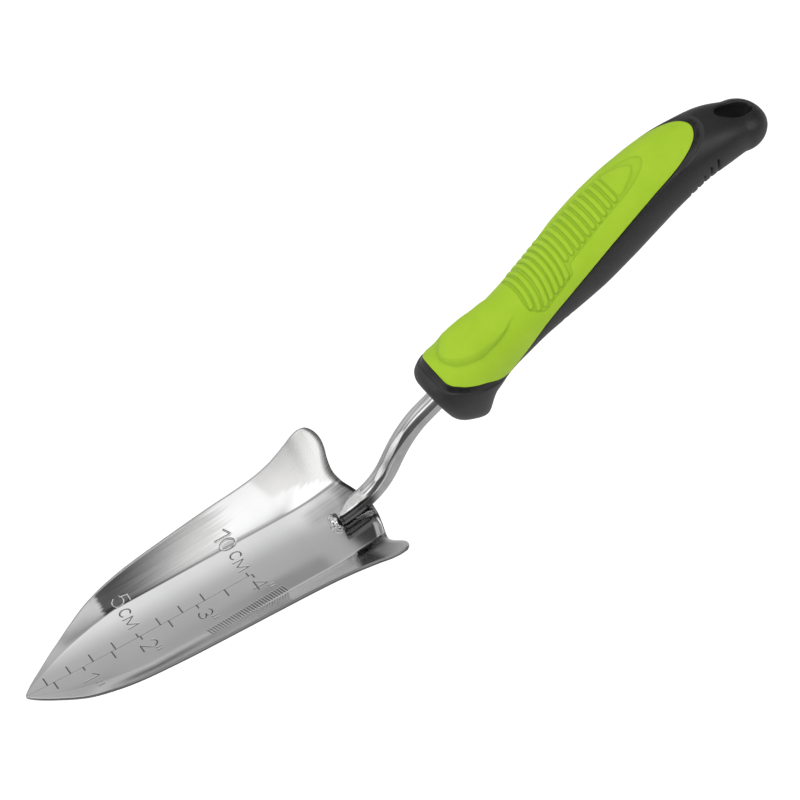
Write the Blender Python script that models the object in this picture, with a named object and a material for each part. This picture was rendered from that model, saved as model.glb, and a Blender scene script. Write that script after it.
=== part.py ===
"""Hand trowel: a pressed stainless blade, an S-bent round tang welded into its
heel, and a moulded two-colour handle (a hard core with a soft grip over it).

Frame: metres, +X from the tip towards the handle, +Y to the left, +Z up, the
hollow side of the blade facing up. Everything is modelled first with the tip at
x = 0, then the whole trowel is placed so that the origin is the middle of the
bottom of its bounding box.

Dimensions are in centimetres and degrees unless a comment says otherwise.
"""

from math import copysign, cos, degrees, exp, pi, radians, sin, sqrt

import bmesh
import bpy
from mathutils import Matrix, Vector

CM = 0.01                       # metres in a centimetre
GAP = 0.03                      # clearance between neighbouring pieces

# -------------------------------------------------------- blade dimensions
# (distance from tip, half width, height of the rim)
RIM = (
    (0.0, 0.0, 0.12), (0.2, 0.21, 0.13), (0.5, 0.46, 0.12), (1.0, 0.81, 0.11),
    (2.0, 1.44, 0.16), (3.0, 1.90, 0.37), (4.0, 2.26, 0.61), (5.0, 2.49, 0.80),
    (6.0, 2.65, 0.925), (8.0, 2.85, 1.095), (10.0, 3.02, 1.24), (12.0, 3.18, 1.35),
    (13.0, 3.35, 1.455), (14.0, 3.66, 1.655), (14.6, 3.88, 1.785), (15.0, 3.95, 1.845),
)
BLADE_SIDE = RIM[-1][0]         # tip to the widest point of the ears
# Heel edge: (distance from the middle, distance from tip)
HEEL = (
    (0.0, 15.80), (0.5, 15.75), (1.1, 15.61), (1.7, 15.43), (2.2, 15.31),
    (2.65, 15.38), (3.0, 15.50), (3.3, 15.545), (3.6, 15.48), (3.8, 15.35),
    (3.9, 15.20), (3.95, 15.0),
)
HEEL_BLEND = 0.55               # fraction of the length where rows start to bend to the heel
SHEET = 0.15                    # sheet thickness
FLOOR_HALF, FLOOR_SHARE = 1.35, 0.62    # half width of the flat floor, and its limit
FOLD_HALF, FOLD_SHARE = 0.45, 0.34      # half width of the fold from floor to wall, and its limit
                                        # (limits are shares of the blade's half width)
BOW_MID, BOW_2, BOW_3 = 6.0, 0.0020, -0.00034   # lengthwise bow: middle, square and cube terms
BOW_FADE, BOW_END = 10.0, 12.0          # where the bow starts to fade, and where it is gone
HEEL_START, HEEL_LIFT = 12.6, 0.046     # the floor rises from here, with this square term
HEEL_RIM_SHARE = 0.35           # share of the floor's rise that the rim follows past the ears
ROWS_ALONG, COLUMNS_HALF = 40, 9
FIRST_ROW = 0.004               # first row behind the tip, as a fraction of the length
SLOPE_STEP = 1e-3               # step for measuring the surface's slope

# --------------------------------------------------------- tang dimensions
TANG_R = 0.43
TANG_SIDES = 16
TANG_FRONT = 14.30              # nominal front end of the tang on the blade's floor
TANG_SPARE = 0.25               # extra length in front, removed by the slanted cut
TANG_CUT = 52.0                 # angle of the sawn front end
TANG_LIFT_OFF = 15.30           # where the tang leaves the floor
BEND_MIDDLE = Vector((16.91, 0, 2.08))  # middle of the S bend
BEND_SLOPE = 57                 # slope of the tang there
BEND_PULLS = (0.95, 0.62, 0.72, 0.95)   # Bezier handle lengths, from blade to handle
BEND_STEPS = 10                 # steps in each half of the bend
BEND_SHORT = 0.35               # the bend ends this far in front of the handle axis' start
TANG_DEPTH = 10.4               # how far it runs into the handle
FLAT_LENGTH, FLAT_WIDE, FLAT_THIN = 1.8, 1.16, 0.60   # pressed end that stops it turning
FLAT_POWER = 0.7                # superellipse power of the pressed section
TANG_STRAIGHT = TANG_DEPTH - FLAT_LENGTH    # round length inside the handle

# ------------------------------------------------------- handle dimensions
HANDLE_X, HANDLE_Z, HANDLE_RISE = 19.0, 3.98, 26.6    # start and slope of its straight axis
# (along the axis, centre above the axis, half height)
HANDLE = (
    (0.3, 0.08, 1.21), (0.8, 0.08, 1.45), (1.3, 0.11, 1.52), (1.8, 0.10, 1.49),
    (2.4, 0.18, 1.48), (3.1, 0.18, 1.365), (4.0, 0.10, 1.27), (5.0, 0.12, 1.28),
    (6.2, 0.13, 1.355), (7.4, 0.16, 1.46), (8.6, 0.245, 1.56), (9.8, 0.31, 1.58),
    (11.0, 0.33, 1.55), (12.2, 0.28, 1.475), (13.2, 0.235, 1.38), (14.2, 0.22, 1.265),
    (15.2, 0.205, 1.145), (16.2, 0.155, 0.945),
)
# (along the axis, width over height)
ROUNDNESS = ((0.0, 1.0), (2.0, 1.03), (4.0, 1.05), (12.0, 1.07), (14.0, 1.12), (16.2, 1.25))
SQUARENESS = 2.15               # superellipse exponent of every section
HANDLE_SIDES = 32
FACE = HANDLE[0][0]             # position of the flat front face of the collar
FACE_EDGE = 0.30                # rounding of the collar's front edge
TAIL_BEND_START, TAIL_BEND = 12.0, 0.143    # downward bend, radians per cm
TAIL_END, TAIL_ROUND = 17.60, 1.2
GUARD_DROP, GUARD_AT, GUARD_LONG = 0.82, 1.35, 0.62   # finger guard under the collar
HOLE_AT, HOLE_LONG, HOLE_WIDE, HOLE_SWING = 15.90, 1.90, 1.02, 15.4
HOLE_REACH, HOLE_SIDES = 2.2, 24
# Finger notches under the handle:
# (along the axis, half angle kept clear from the top, depth)
NOTCHES = (
    (6.15, 124, 0.07), (6.47, 126, 0.07), (6.80, 130, 0.06),
    (13.15, 116, 0.06), (13.52, 108, 0.07), (13.88, 100, 0.08),
    (14.24, 92, 0.08), (14.60, 86, 0.08),
)
NOTCH_HALF = 0.09               # half length of a notch
NOTCH_FADE = 14                 # angle over which a notch reaches its full depth
# Sections of the core besides those at the notches
CORE_STATIONS = (
    FACE, 0.33, 0.40, 0.50, 0.62, 0.80, 1.05, 1.35, 1.65, 1.95, 2.3, 2.7, 3.2, 3.8, 4.5,
    5.2, 5.8, 7.3, 8.0, 8.8, 9.6, 10.4, 11.2, 11.9, 12.5,
    15.2, 15.8, 16.4, 16.75, 17.05, 17.3, 17.48, 17.575,
)

# --------------------------------------------------- soft grip dimensions
# (along the axis, half angle round the section from the top)
GRIP = (
    (1.11, 33), (1.20, 42), (1.36, 50), (1.55, 59), (1.94, 73), (2.49, 92),
    (3.0, 114), (3.25, 122), (3.5, 119), (4.3, 105.5), (5.5, 90), (6.3, 82),
    (8.2, 70), (10.1, 64), (11.6, 59.5), (12.7, 54), (13.3, 47.5), (13.8, 38),
    (14.15, 26.5), (14.35, 15), (14.45, 4),
)
# Sections between the two ends of the grip
GRIP_STATIONS = (
    1.20, 1.36, 1.55, 1.75, 1.95, 2.2, 2.5, 2.8, 3.05, 3.25, 3.5, 3.9, 4.4, 5.2, 5.8, 6.5,
    7.3, 8.0, 8.8, 9.6, 10.4, 11.2, 11.9, 12.5, 12.9, 13.3, 13.6, 13.8, 14.0, 14.15,
    14.27, 14.37,
)
GRIP_THICK = 0.24
GRIP_ACROSS = 12                # steps across the grip
GRIP_RADIUS = 1.4               # section radius that turns a margin into an angle
RECESS_ABOVE = 0.5              # how far the recess cutter stands out of the handle
# Thumb rest: (along the axis, half angle)
PAD = (
    (1.62, 2), (1.72, 18), (1.90, 27), (2.28, 38),
    (2.84, 46), (3.54, 47), (4.2, 41), (4.8, 33),
)
PAD_HIGH, PAD_END = 0.09, 5.0
PAD_RUN_OUT = 1.2               # length over which it sinks into the grip
PAD_EDGE, PAD_BIAS = 9, 0.15    # angle of its side slope, and shift of the slope's start

# Handle axis, the upward direction square to it, and its start
RISE = radians(HANDLE_RISE)
AXIS = Vector((cos(RISE), 0, sin(RISE)))
NORMAL = Vector((-sin(RISE), 0, cos(RISE)))
START = Vector((HANDLE_X, 0, HANDLE_Z))
LEFT = Vector((0, 1, 0))


# ------------------------------------------------------------------ curves
def spline(table, x, column=1):
    """Smooth curve through a table's rows (monotone where the table is), held at its ends."""
    if x <= table[0][0]:
        return table[0][column]
    if x >= table[-1][0]:
        return table[-1][column]
    xs = [row[0] for row in table]
    ys = [row[column] for row in table]
    last = len(table) - 1
    i = max(k for k in range(last) if xs[k] <= x)

    def secant(k):
        return (ys[k + 1] - ys[k]) / (xs[k + 1] - xs[k])

    def slope(k):
        if k == 0:
            return secant(0)
        if k == last:
            return secant(last - 1)
        before, after = secant(k - 1), secant(k)
        if before * after <= 0:
            return 0.0
        width_before, width_after = xs[k] - xs[k - 1], xs[k + 1] - xs[k]
        weight_before = 2 * width_after + width_before
        weight_after = width_after + 2 * width_before
        total = weight_before + weight_after
        return total / (weight_before / before + weight_after / after)

    width = xs[i + 1] - xs[i]
    t = (x - xs[i]) / width
    return (
        (2 * t**3 - 3 * t**2 + 1) * ys[i] + (t**3 - 2 * t**2 + t) * width * slope(i)
        + (3 * t**2 - 2 * t**3) * ys[i + 1] + (t**3 - t**2) * width * slope(i + 1)
    )


def linear(table, x):
    """Straight lines through a table's rows, held at its ends."""
    for (x0, y0), (x1, y1) in zip(table, table[1:]):
        if x <= x1:
            return y0 + (y1 - y0) * clamp((x - x0) / (x1 - x0))
    return table[-1][1]


def bezier(start, pull_start, pull_end, end, t):
    u = 1 - t
    return (start * u**3 + pull_start * (3 * u * u * t)
            + pull_end * (3 * u * t * t) + end * t**3)


def clamp(value):
    return min(max(value, 0.0), 1.0)


def smooth(t):
    t = clamp(t)
    return t * t * (3 - 2 * t)


def signed_power(value, power):
    return copysign(abs(value) ** power, value)


# --------------------------------------------------------- object helpers
def material(name, colour, roughness, metallic):
    made = bpy.data.materials.new(name)
    made.use_nodes = True
    shader = made.node_tree.nodes["Principled BSDF"]
    shader.inputs["Base Color"].default_value = (*colour, 1)
    shader.inputs["Roughness"].default_value = roughness
    shader.inputs["Metallic"].default_value = metallic
    made.diffuse_color = (*colour, 1)
    return made


def object_of(name, bm, mat=None, sharp=35):
    """Turn a bmesh into a smooth-shaded object; edges over the sharp angle stay sharp."""
    bmesh.ops.recalc_face_normals(bm, faces=bm.faces)
    mesh = bpy.data.meshes.new(name)
    bm.to_mesh(mesh)
    bm.free()
    mesh.shade_smooth()
    mesh.set_sharp_from_angle(angle=radians(sharp))
    made = bpy.data.objects.new(name, mesh)
    bpy.context.scene.collection.objects.link(made)
    if mat:
        mesh.materials.append(mat)
    return made


def cutter(name, bm):
    made = object_of(name, bm)
    made.hide_render = True
    made.display_type = "WIRE"
    return made


def subtract(target, tool):
    mod = target.modifiers.new(tool.name, "BOOLEAN")
    mod.operation = "DIFFERENCE"
    mod.solver = "EXACT"
    mod.object = tool


def loft(rings):
    """Closed body through rings of equally many points; the last may be a single point."""
    bm = bmesh.new()
    made = [[bm.verts.new(point * CM) for point in ring] for ring in rings]
    for ring, following in zip(made, made[1:]):
        for i in range(len(ring)):
            j = (i + 1) % len(ring)
            if len(following) == 1:
                bm.faces.new((ring[i], ring[j], following[0]))
            else:
                bm.faces.new((ring[i], ring[j], following[j], following[i]))
    bm.faces.new(made[0])
    if len(made[-1]) > 1:
        bm.faces.new(made[-1])
    return bm


# -------------------------------------------------------------------- blade
def floor_height(x):
    bow = 0.0
    if x < BOW_END:
        bow = BOW_2 * (x - BOW_MID) ** 2 + BOW_3 * (x - BOW_MID) ** 3
        bow *= 1 - smooth((x - BOW_FADE) / (BOW_END - BOW_FADE))
    lift = HEEL_LIFT * (x - HEEL_START) ** 2 if x > HEEL_START else 0.0
    return bow + lift


def heel_slope(x):
    """Slope of the floor where it rises to the heel."""
    return 2 * HEEL_LIFT * (x - HEEL_START)


def blade_height(x, y):
    """Height of the hollow face at a point of the plan."""
    side = min(x, BLADE_SIDE)
    half, rim = spline(RIM, side), spline(RIM, side, 2)
    base = floor_height(x)
    rim += (base - floor_height(side)) * HEEL_RIM_SHARE
    fold = min(FLOOR_HALF, FLOOR_SHARE * half)
    soft = min(FOLD_HALF, FOLD_SHARE * half)
    slope = max(rim - base, 0.0) / max(half - fold, 1e-6)
    beyond = abs(y) - fold
    if beyond <= -soft:
        return base
    if beyond >= soft:
        return base + slope * beyond
    return base + slope * (beyond + soft) ** 2 / (4 * soft)


def blade_point(along, across):
    """Plan point: along runs 0..1 from tip to heel, across -1..1 from right rim to left."""
    side = BLADE_SIDE * along
    y = across * spline(RIM, side)
    heel = spline(HEEL, abs(across) * HEEL[-1][0])
    bend = smooth((along - HEEL_BLEND) / (1 - HEEL_BLEND)) ** 2
    return side + (heel - BLADE_SIDE) * bend, y


def sheet_points(along, across):
    """Matching points on the hollow face and on the underside."""
    x, y = blade_point(along, across)
    step = SLOPE_STEP
    slope_x = (blade_height(x + step, y) - blade_height(x - step, y)) / (2 * step)
    slope_y = (blade_height(x, y + step) - blade_height(x, y - step)) / (2 * step)
    outward = Vector((-slope_x, -slope_y, 1)).normalized()
    upper = Vector((x, y, blade_height(x, y)))
    return upper, upper - outward * SHEET


def grid_outline(grid):
    """Vertices round the edge of a grid whose first row is the single tip vertex."""
    return (grid[0] + [row[0] for row in grid[1:]] + grid[-1][1:-1]
            + [row[-1] for row in grid[:0:-1]])


def make_blade(mat):
    # Rows crowd towards the tip, columns towards the rims.
    rows = [FIRST_ROW + (1 - FIRST_ROW) * (i / ROWS_ALONG) ** 1.15
            for i in range(ROWS_ALONG + 1)]
    columns = sorted({side * (1 - (1 - i / COLUMNS_HALF) ** 1.7)
                      for side in (-1, 1) for i in range(COLUMNS_HALF + 1)})
    point_rows = [[sheet_points(0.0, 0.0)]]
    point_rows += [[sheet_points(along, across) for across in columns] for along in rows]

    bm = bmesh.new()
    top, low = [], []
    for pairs in point_rows:
        top.append([bm.verts.new(upper * CM) for upper, _ in pairs])
        low.append([bm.verts.new(lower * CM) for _, lower in pairs])
    for grid, order in ((top, 1), (low, -1)):
        for i, (row, following) in enumerate(zip(grid, grid[1:])):
            for j in range(len(columns) - 1):
                if i == 0:
                    face = (row[0], following[j], following[j + 1])
                else:
                    face = (row[j], following[j], following[j + 1], row[j + 1])
                bm.faces.new(face[::order])
    edge_top, edge_low = grid_outline(top), grid_outline(low)
    for i in range(len(edge_top)):
        j = (i + 1) % len(edge_top)
        bm.faces.new((edge_top[i], edge_top[j], edge_low[j], edge_low[i]))
    return object_of("blade", bm, mat, sharp=40)


# --------------------------------------------------------------------- tang
def tang_path():
    """Centre line: flat on the heel's floor, up in an S, then along the handle's axis."""
    lie = TANG_R + GAP
    first = TANG_FRONT - TANG_SPARE
    points = []
    for i in range(9):
        x = first + (TANG_LIFT_OFF - first) * i / 8
        slope = heel_slope(x)
        stretch = sqrt(1 + slope * slope)
        points.append(Vector((x - slope / stretch * lie, 0, floor_height(x) + lie / stretch)))

    begin, middle, end = points[-1], BEND_MIDDLE, START - AXIS * BEND_SHORT
    ahead = Vector((1, 0, heel_slope(TANG_LIFT_OFF))).normalized()
    steep = Vector((cos(radians(BEND_SLOPE)), 0, sin(radians(BEND_SLOPE))))
    pulls = BEND_PULLS
    for curve in (
        (begin, begin + ahead * pulls[0], middle - steep * pulls[1], middle),
        (middle, middle + steep * pulls[2], end - AXIS * pulls[3], end),
    ):
        points += [bezier(*curve, i / BEND_STEPS) for i in range(1, BEND_STEPS + 1)]

    for i in range(4):
        points.append(START + AXIS * (FACE + (TANG_STRAIGHT - FACE) * i / 3))
    return points


def circle(centre, tangent, radius):
    up = tangent.cross(LEFT).normalized()
    turns = [2 * pi * i / TANG_SIDES for i in range(TANG_SIDES)]
    return [centre + LEFT * radius * sin(a) + up * radius * cos(a) for a in turns]


def tang_rings(grow, points):
    rings = []
    for i, point in enumerate(points):
        before, after = points[max(i - 1, 0)], points[min(i + 1, len(points) - 1)]
        rings.append(circle(point, (after - before).normalized(), TANG_R + grow))
    return rings


def tang_flat_rings(grow):
    """The pressed, flattened end that keys the tang into the handle."""
    rings = []
    # (distance from the end of the round part, section scale)
    for along, scale in (
        (0.45, 1.0), (FLAT_LENGTH - 0.12, 1.0), (FLAT_LENGTH + grow, 0.86),
    ):
        centre = START + AXIS * (TANG_STRAIGHT + along)
        wide, thin = FLAT_WIDE / 2 * scale + grow, FLAT_THIN / 2 * scale + grow
        ring = []
        for i in range(TANG_SIDES):
            turn = 2 * pi * i / TANG_SIDES
            y = wide * signed_power(sin(turn), FLAT_POWER)
            height = thin * signed_power(cos(turn), FLAT_POWER)
            ring.append(centre + LEFT * y + NORMAL * height)
        rings.append(ring)
    return rings


def make_tang(mat):
    points = tang_path()
    bm = loft(tang_rings(0, points) + tang_flat_rings(0))
    # The front end is sawn off at a slant.
    tangent = (points[2] - points[0]).normalized()
    up = Vector((-tangent.z, 0, tangent.x))
    lean = radians(TANG_CUT)
    cut = bmesh.ops.bisect_plane(
        bm,
        geom=bm.verts[:] + bm.edges[:] + bm.faces[:],
        dist=1e-7,
        plane_co=(points[0] + tangent * (TANG_SPARE + TANG_R * 0.9)) * CM,
        plane_no=up * cos(lean) - tangent * sin(lean),
        clear_outer=True,
    )
    rim = [e for e in cut["geom_cut"] if isinstance(e, bmesh.types.BMEdge)]
    bmesh.ops.holes_fill(bm, edges=rim, sides=0)
    return object_of("neck", bm, mat, sharp=40)


# -------------------------------------------------------------------- welds
SEAT_FROM, SEAT_TO, SEAT_HALF, SEAT_BOTTOM = 13.0, 15.75, 1.6, -1.0
SEAT_CELLS = 10
ROD_POINTS = 20                 # points of the tang's path that the rod cutter follows
FRONT_WELD_X = TANG_FRONT - 0.20
SIDE_WELD_FLOOR = 15.40         # where the floor height under the side welds is taken
SIDE_WELD_X, SIDE_WELD_Y = SIDE_WELD_FLOOR - 0.15, 0.46
FRONT_WELD_RADII, SIDE_WELD_RADII = (0.42, 0.36, 0.30), (0.34, 0.17, 0.26)


def make_seat_cutter():
    """Solid up to a gap above the blade's hollow face, to seat a weld on the sheet."""
    bm = bmesh.new()
    cells = SEAT_CELLS
    ys = [SEAT_HALF * (2 * j / cells - 1) for j in range(cells + 1)]
    top, low = [], []
    for i in range(cells + 1):
        x = SEAT_FROM + (SEAT_TO - SEAT_FROM) * i / cells
        top.append([bm.verts.new(Vector((x, y, blade_height(x, y) + GAP)) * CM) for y in ys])
        low.append([bm.verts.new(Vector((x, y, SEAT_BOTTOM)) * CM) for y in ys])
    for i in range(cells):
        for j in range(cells):
            bm.faces.new((top[i][j], top[i + 1][j], top[i + 1][j + 1], top[i][j + 1]))
            bm.faces.new((low[i][j + 1], low[i + 1][j + 1], low[i + 1][j], low[i][j]))
    for i in range(cells):
        bm.faces.new((top[i][0], low[i][0], low[i + 1][0], top[i + 1][0]))
        bm.faces.new((top[i + 1][-1], low[i + 1][-1], low[i][-1], top[i][-1]))
    for j in range(cells):
        bm.faces.new((top[0][j + 1], low[0][j + 1], low[0][j], top[0][j]))
        bm.faces.new((top[-1][j], low[-1][j], low[-1][j + 1], top[-1][j + 1]))
    return cutter("weld_seat_cutter", bm)


def make_weld(name, mat, centre, radii, tools):
    """Ellipsoid bead, cut clear of the sheet and the tang."""
    bm = bmesh.new()
    bmesh.ops.create_uvsphere(bm, u_segments=16, v_segments=10, radius=1)
    for vert in bm.verts:
        scaled = Vector([unit * radius for unit, radius in zip(vert.co, radii)])
        vert.co = (scaled + Vector(centre)) * CM
    made = object_of(name, bm, mat, sharp=60)
    for tool in tools:
        subtract(made, tool)


def make_welds(mat):
    rod = loft(tang_rings(GAP, tang_path()[:ROD_POINTS]))
    tools = (make_seat_cutter(), cutter("weld_rod_cutter", rod))
    front = (FRONT_WELD_X, 0.0, floor_height(FRONT_WELD_X) + 0.16)
    make_weld("weld_front", mat, front, FRONT_WELD_RADII, tools)
    for name, side in (("weld_left", 1), ("weld_right", -1)):
        centre = (SIDE_WELD_X, side * SIDE_WELD_Y, floor_height(SIDE_WELD_FLOOR) + 0.10)
        make_weld(name, mat, centre, SIDE_WELD_RADII, tools)


# ------------------------------------------------------------------- handle
def handle_frame(along):
    """Centre line point, forward and up directions: straight, then bent down at the tail."""
    turn = TAIL_BEND * max(along - TAIL_BEND_START, 0.0)
    x = min(along, TAIL_BEND_START) + sin(turn) / TAIL_BEND
    drop = (1 - cos(turn)) / TAIL_BEND
    ahead = AXIS * cos(turn) - NORMAL * sin(turn)
    up = AXIS * sin(turn) + NORMAL * cos(turn)
    return START + AXIS * x - NORMAL * drop, ahead, up


def notch_depth(along, angle):
    for at, clear, depth in NOTCHES:
        if abs(along - at) < 1e-6:
            return depth * smooth((abs(angle) - clear) / NOTCH_FADE)
    return 0.0


def handle_point(along, angle, grow=0.0):
    """Point of the handle's skin, moved out by grow; angle is in degrees from the top."""
    where, _, up = handle_frame(along)
    half = spline(HANDLE, along, 2)
    end = clamp((along - (TAIL_END - TAIL_ROUND)) / TAIL_ROUND)
    half *= sqrt(max(1 - end * end, 0.0))
    wide = half * linear(ROUNDNESS, along)
    front = clamp((FACE + FACE_EDGE - along) / FACE_EDGE)
    tuck = FACE_EDGE * (1 - sqrt(max(1 - front * front, 0.0)))
    half, wide = half - tuck + grow, wide - tuck + grow
    guard = GUARD_DROP * exp(-(((along - GUARD_AT) / GUARD_LONG) ** 2))
    return where, up, half, wide, guard, radians(angle)


def skin_point(along, angle, grow=0.0):
    """Point of the superellipse section; the guard stretches its lower half."""
    where, up, half, wide, guard, turn = handle_point(along, angle, grow)
    y = wide * signed_power(sin(turn), 2 / SQUARENESS)
    height = signed_power(cos(turn), 2 / SQUARENESS)
    height *= half if height > 0 else half + guard
    return where + up * (spline(HANDLE, along) + height) + LEFT * y


def core_rings():
    stations = list(CORE_STATIONS)
    for at, _, _ in NOTCHES:
        stations += [at - NOTCH_HALF, at, at + NOTCH_HALF]
    angles = [360 * (i + 0.5) / HANDLE_SIDES - 180 for i in range(HANDLE_SIDES)]
    rings = [[skin_point(s, angle, -notch_depth(s, angle)) for angle in angles]
             for s in sorted(stations)]
    return rings + [[skin_point(TAIL_END, 0)]]


def bore_cutter():
    """Clearance for the tang, from in front of the collar to the pressed end."""
    centres = [START - AXIS * 0.5]
    centres += [START + AXIS * TANG_STRAIGHT * share for share in (0.1, 0.5, 1.0)]
    rings = [circle(centre, AXIS, TANG_R + GAP) for centre in centres]
    return cutter("tang_bore_cutter", loft(rings + tang_flat_rings(GAP)))


def hole_cutter():
    """Oval hanging hole through the tail."""
    where, ahead, up = handle_frame(HOLE_AT)
    swing = Matrix.Rotation(radians(HOLE_SWING), 3, "Y")
    ahead, up = swing @ ahead, swing @ up
    turns = [2 * pi * i / HOLE_SIDES for i in range(HOLE_SIDES)]
    rings = [[where + up * reach + ahead * (HOLE_LONG / 2 * cos(turn))
              + LEFT * (HOLE_WIDE / 2 * sin(turn)) for turn in turns]
             for reach in (-HOLE_REACH, HOLE_REACH)]
    return cutter("hang_hole_cutter", loft(rings))


def recess_cutter():
    """Recess for the soft grip."""
    body = grip_body(margin=GAP, outer=RECESS_ABOVE, inner=GRIP_THICK + GAP, pad=False)
    return cutter("grip_recess_cutter", body)


def make_core(mat):
    core = object_of("handle_core", loft(core_rings()), mat, sharp=40)
    for make_tool in (bore_cutter, hole_cutter, recess_cutter):
        subtract(core, make_tool())


# --------------------------------------------------------------- soft grip
def pad_lift(along, angle):
    """Raised thumb rest behind the collar, which runs out into the grip's waist."""
    if not PAD[0][0] <= along <= PAD_END:
        return 0.0
    inside = smooth((spline(PAD, along) - abs(angle)) / PAD_EDGE + PAD_BIAS)
    return PAD_HIGH * inside * smooth((PAD_END - along) / PAD_RUN_OUT)


def grip_body(margin, outer, inner, pad):
    """Grip widened by margin, from inner below the handle's skin to outer above it."""
    rings = []
    for s in (GRIP[0][0] - margin, *GRIP_STATIONS, GRIP[-1][0] + margin):
        reach = spline(GRIP, s) + degrees(margin / GRIP_RADIUS)
        angles = [reach * (2 * j / GRIP_ACROSS - 1) for j in range(GRIP_ACROSS + 1)]
        skin = [skin_point(s, a, outer + (pad_lift(s, a) if pad else 0)) for a in angles]
        bed = [skin_point(s, a, -inner) for a in angles[::-1]]
        rings.append(skin + bed)
    return loft(rings)


def make_grip(mat):
    body = grip_body(margin=0.0, outer=0.0, inner=GRIP_THICK, pad=True)
    object_of("soft_grip", body, mat, sharp=50)


# ------------------------------------------------------------------- build
def place_trowel():
    """Put the origin at the middle of the bottom of the visible pieces' bounding box."""
    bpy.context.view_layer.update()
    graph = bpy.context.evaluated_depsgraph_get()
    low, high = Vector((1e9,) * 3), Vector((-1e9,) * 3)
    for obj in bpy.context.scene.objects:
        if obj.hide_render:
            continue
        evaluated = obj.evaluated_get(graph)
        for vert in evaluated.to_mesh().vertices:
            low = Vector(map(min, low, vert.co))
            high = Vector(map(max, high, vert.co))
        evaluated.to_mesh_clear()
    shift = Vector((-(low.x + high.x) / 2, -(low.y + high.y) / 2, -low.z))
    for obj in bpy.context.scene.objects:
        obj.location = shift


def main():
    for obj in list(bpy.data.objects):
        bpy.data.objects.remove(obj, do_unlink=True)

    make_blade(material("polished_stainless", colour=(0.62, 0.62, 0.63),
                        roughness=0.22, metallic=1.0))
    make_tang(material("stainless_rod", colour=(0.60, 0.60, 0.61),
                       roughness=0.18, metallic=1.0))
    make_welds(material("weld_metal", colour=(0.55, 0.54, 0.53),
                        roughness=0.35, metallic=1.0))
    make_core(material("black_polypropylene", colour=(0.030, 0.030, 0.032),
                       roughness=0.48, metallic=0.0))
    make_grip(material("green_soft_grip", colour=(0.38, 0.62, 0.035),
                       roughness=0.70, metallic=0.0))
    place_trowel()


main()
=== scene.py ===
# A hand trowel: a steel blade with an engraved depth scale, a round tang welded to its
# heel, and a black handle with a green soft grip.  The blade's tip points to -X, its
# hollow faces +Z, and the handle rises towards +X.  Everything is modelled in
# centimetres with the tip at x = 0 and moved into the frame when a mesh is made.
from math import cos, pi, radians, sin, sqrt

import bmesh
import bpy
import numpy as np
from mathutils import Matrix, Vector
from mathutils.geometry import delaunay_2d_cdt


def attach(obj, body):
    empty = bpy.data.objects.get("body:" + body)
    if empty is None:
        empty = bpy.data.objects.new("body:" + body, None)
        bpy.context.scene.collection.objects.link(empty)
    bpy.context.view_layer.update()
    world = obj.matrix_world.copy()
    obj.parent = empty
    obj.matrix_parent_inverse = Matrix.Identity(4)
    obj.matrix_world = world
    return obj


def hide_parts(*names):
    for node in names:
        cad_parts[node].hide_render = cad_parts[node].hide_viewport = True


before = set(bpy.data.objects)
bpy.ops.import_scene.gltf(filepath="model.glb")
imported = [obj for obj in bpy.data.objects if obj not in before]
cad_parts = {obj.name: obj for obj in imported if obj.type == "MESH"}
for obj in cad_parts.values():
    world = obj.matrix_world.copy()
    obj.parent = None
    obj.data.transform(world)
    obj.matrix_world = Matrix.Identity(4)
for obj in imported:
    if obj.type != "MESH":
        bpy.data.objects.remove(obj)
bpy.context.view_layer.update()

SHIFT = np.array([-0.1762535, 0.0, 0.0015])     # metres
CM = 0.01
MERGE = 2e-5                    # vertices closer than this are one

# ------------------------------------------------------------- blade sizes
# Rim of the blade: x, half width, height
RIM = ((0.0, 0.0, 0.12), (0.2, 0.21, 0.13), (0.5, 0.46, 0.12), (1.0, 0.81, 0.11),
       (2.0, 1.44, 0.16), (3.0, 1.90, 0.37), (4.0, 2.26, 0.61), (5.0, 2.49, 0.80),
       (6.0, 2.65, 0.925), (8.0, 2.85, 1.095), (10.0, 3.02, 1.24), (12.0, 3.18, 1.35),
       (13.0, 3.35, 1.455), (14.0, 3.66, 1.655), (14.6, 3.88, 1.785), (15.0, 3.95, 1.845))
BLADE_SIDE = 15.0               # where the sides end and the heel's edge begins
# Heel's edge: distance from the middle, x
HEEL = ((0.0, 15.80), (0.5, 15.75), (1.1, 15.61), (1.7, 15.43), (2.2, 15.31),
        (2.65, 15.38), (3.0, 15.50), (3.3, 15.545), (3.6, 15.48), (3.8, 15.35),
        (3.9, 15.20), (3.95, 15.0))
SHEET = 0.1498
FOLD_AT, FOLD_SHARE, FOLD_SOFT = 1.72, 0.70, 0.10   # crease between floor and wall
FOLD_EXTRA = 0.24               # further softening of the crease on the -Y side
DISH, HOLLOW = 0.036, 0.16      # sideways rise of the floor; steepening of the walls
LIP_MIDDLE, LIP_EAR, LIP_SLOPE = 0.46, 0.30, 0.62   # rolled edge of the heel
BOW_2, BOW_3, BOW_MID = 0.0020, -0.00034, 6.0       # lengthwise bow of the floor
BOW_FADE, BOW_END = 10, 12
HEEL_LIFT, HEEL_START = 0.046, 12.6
EDGE_ROUND = 0.05               # how far the rounded rim reaches out of the plan

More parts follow.
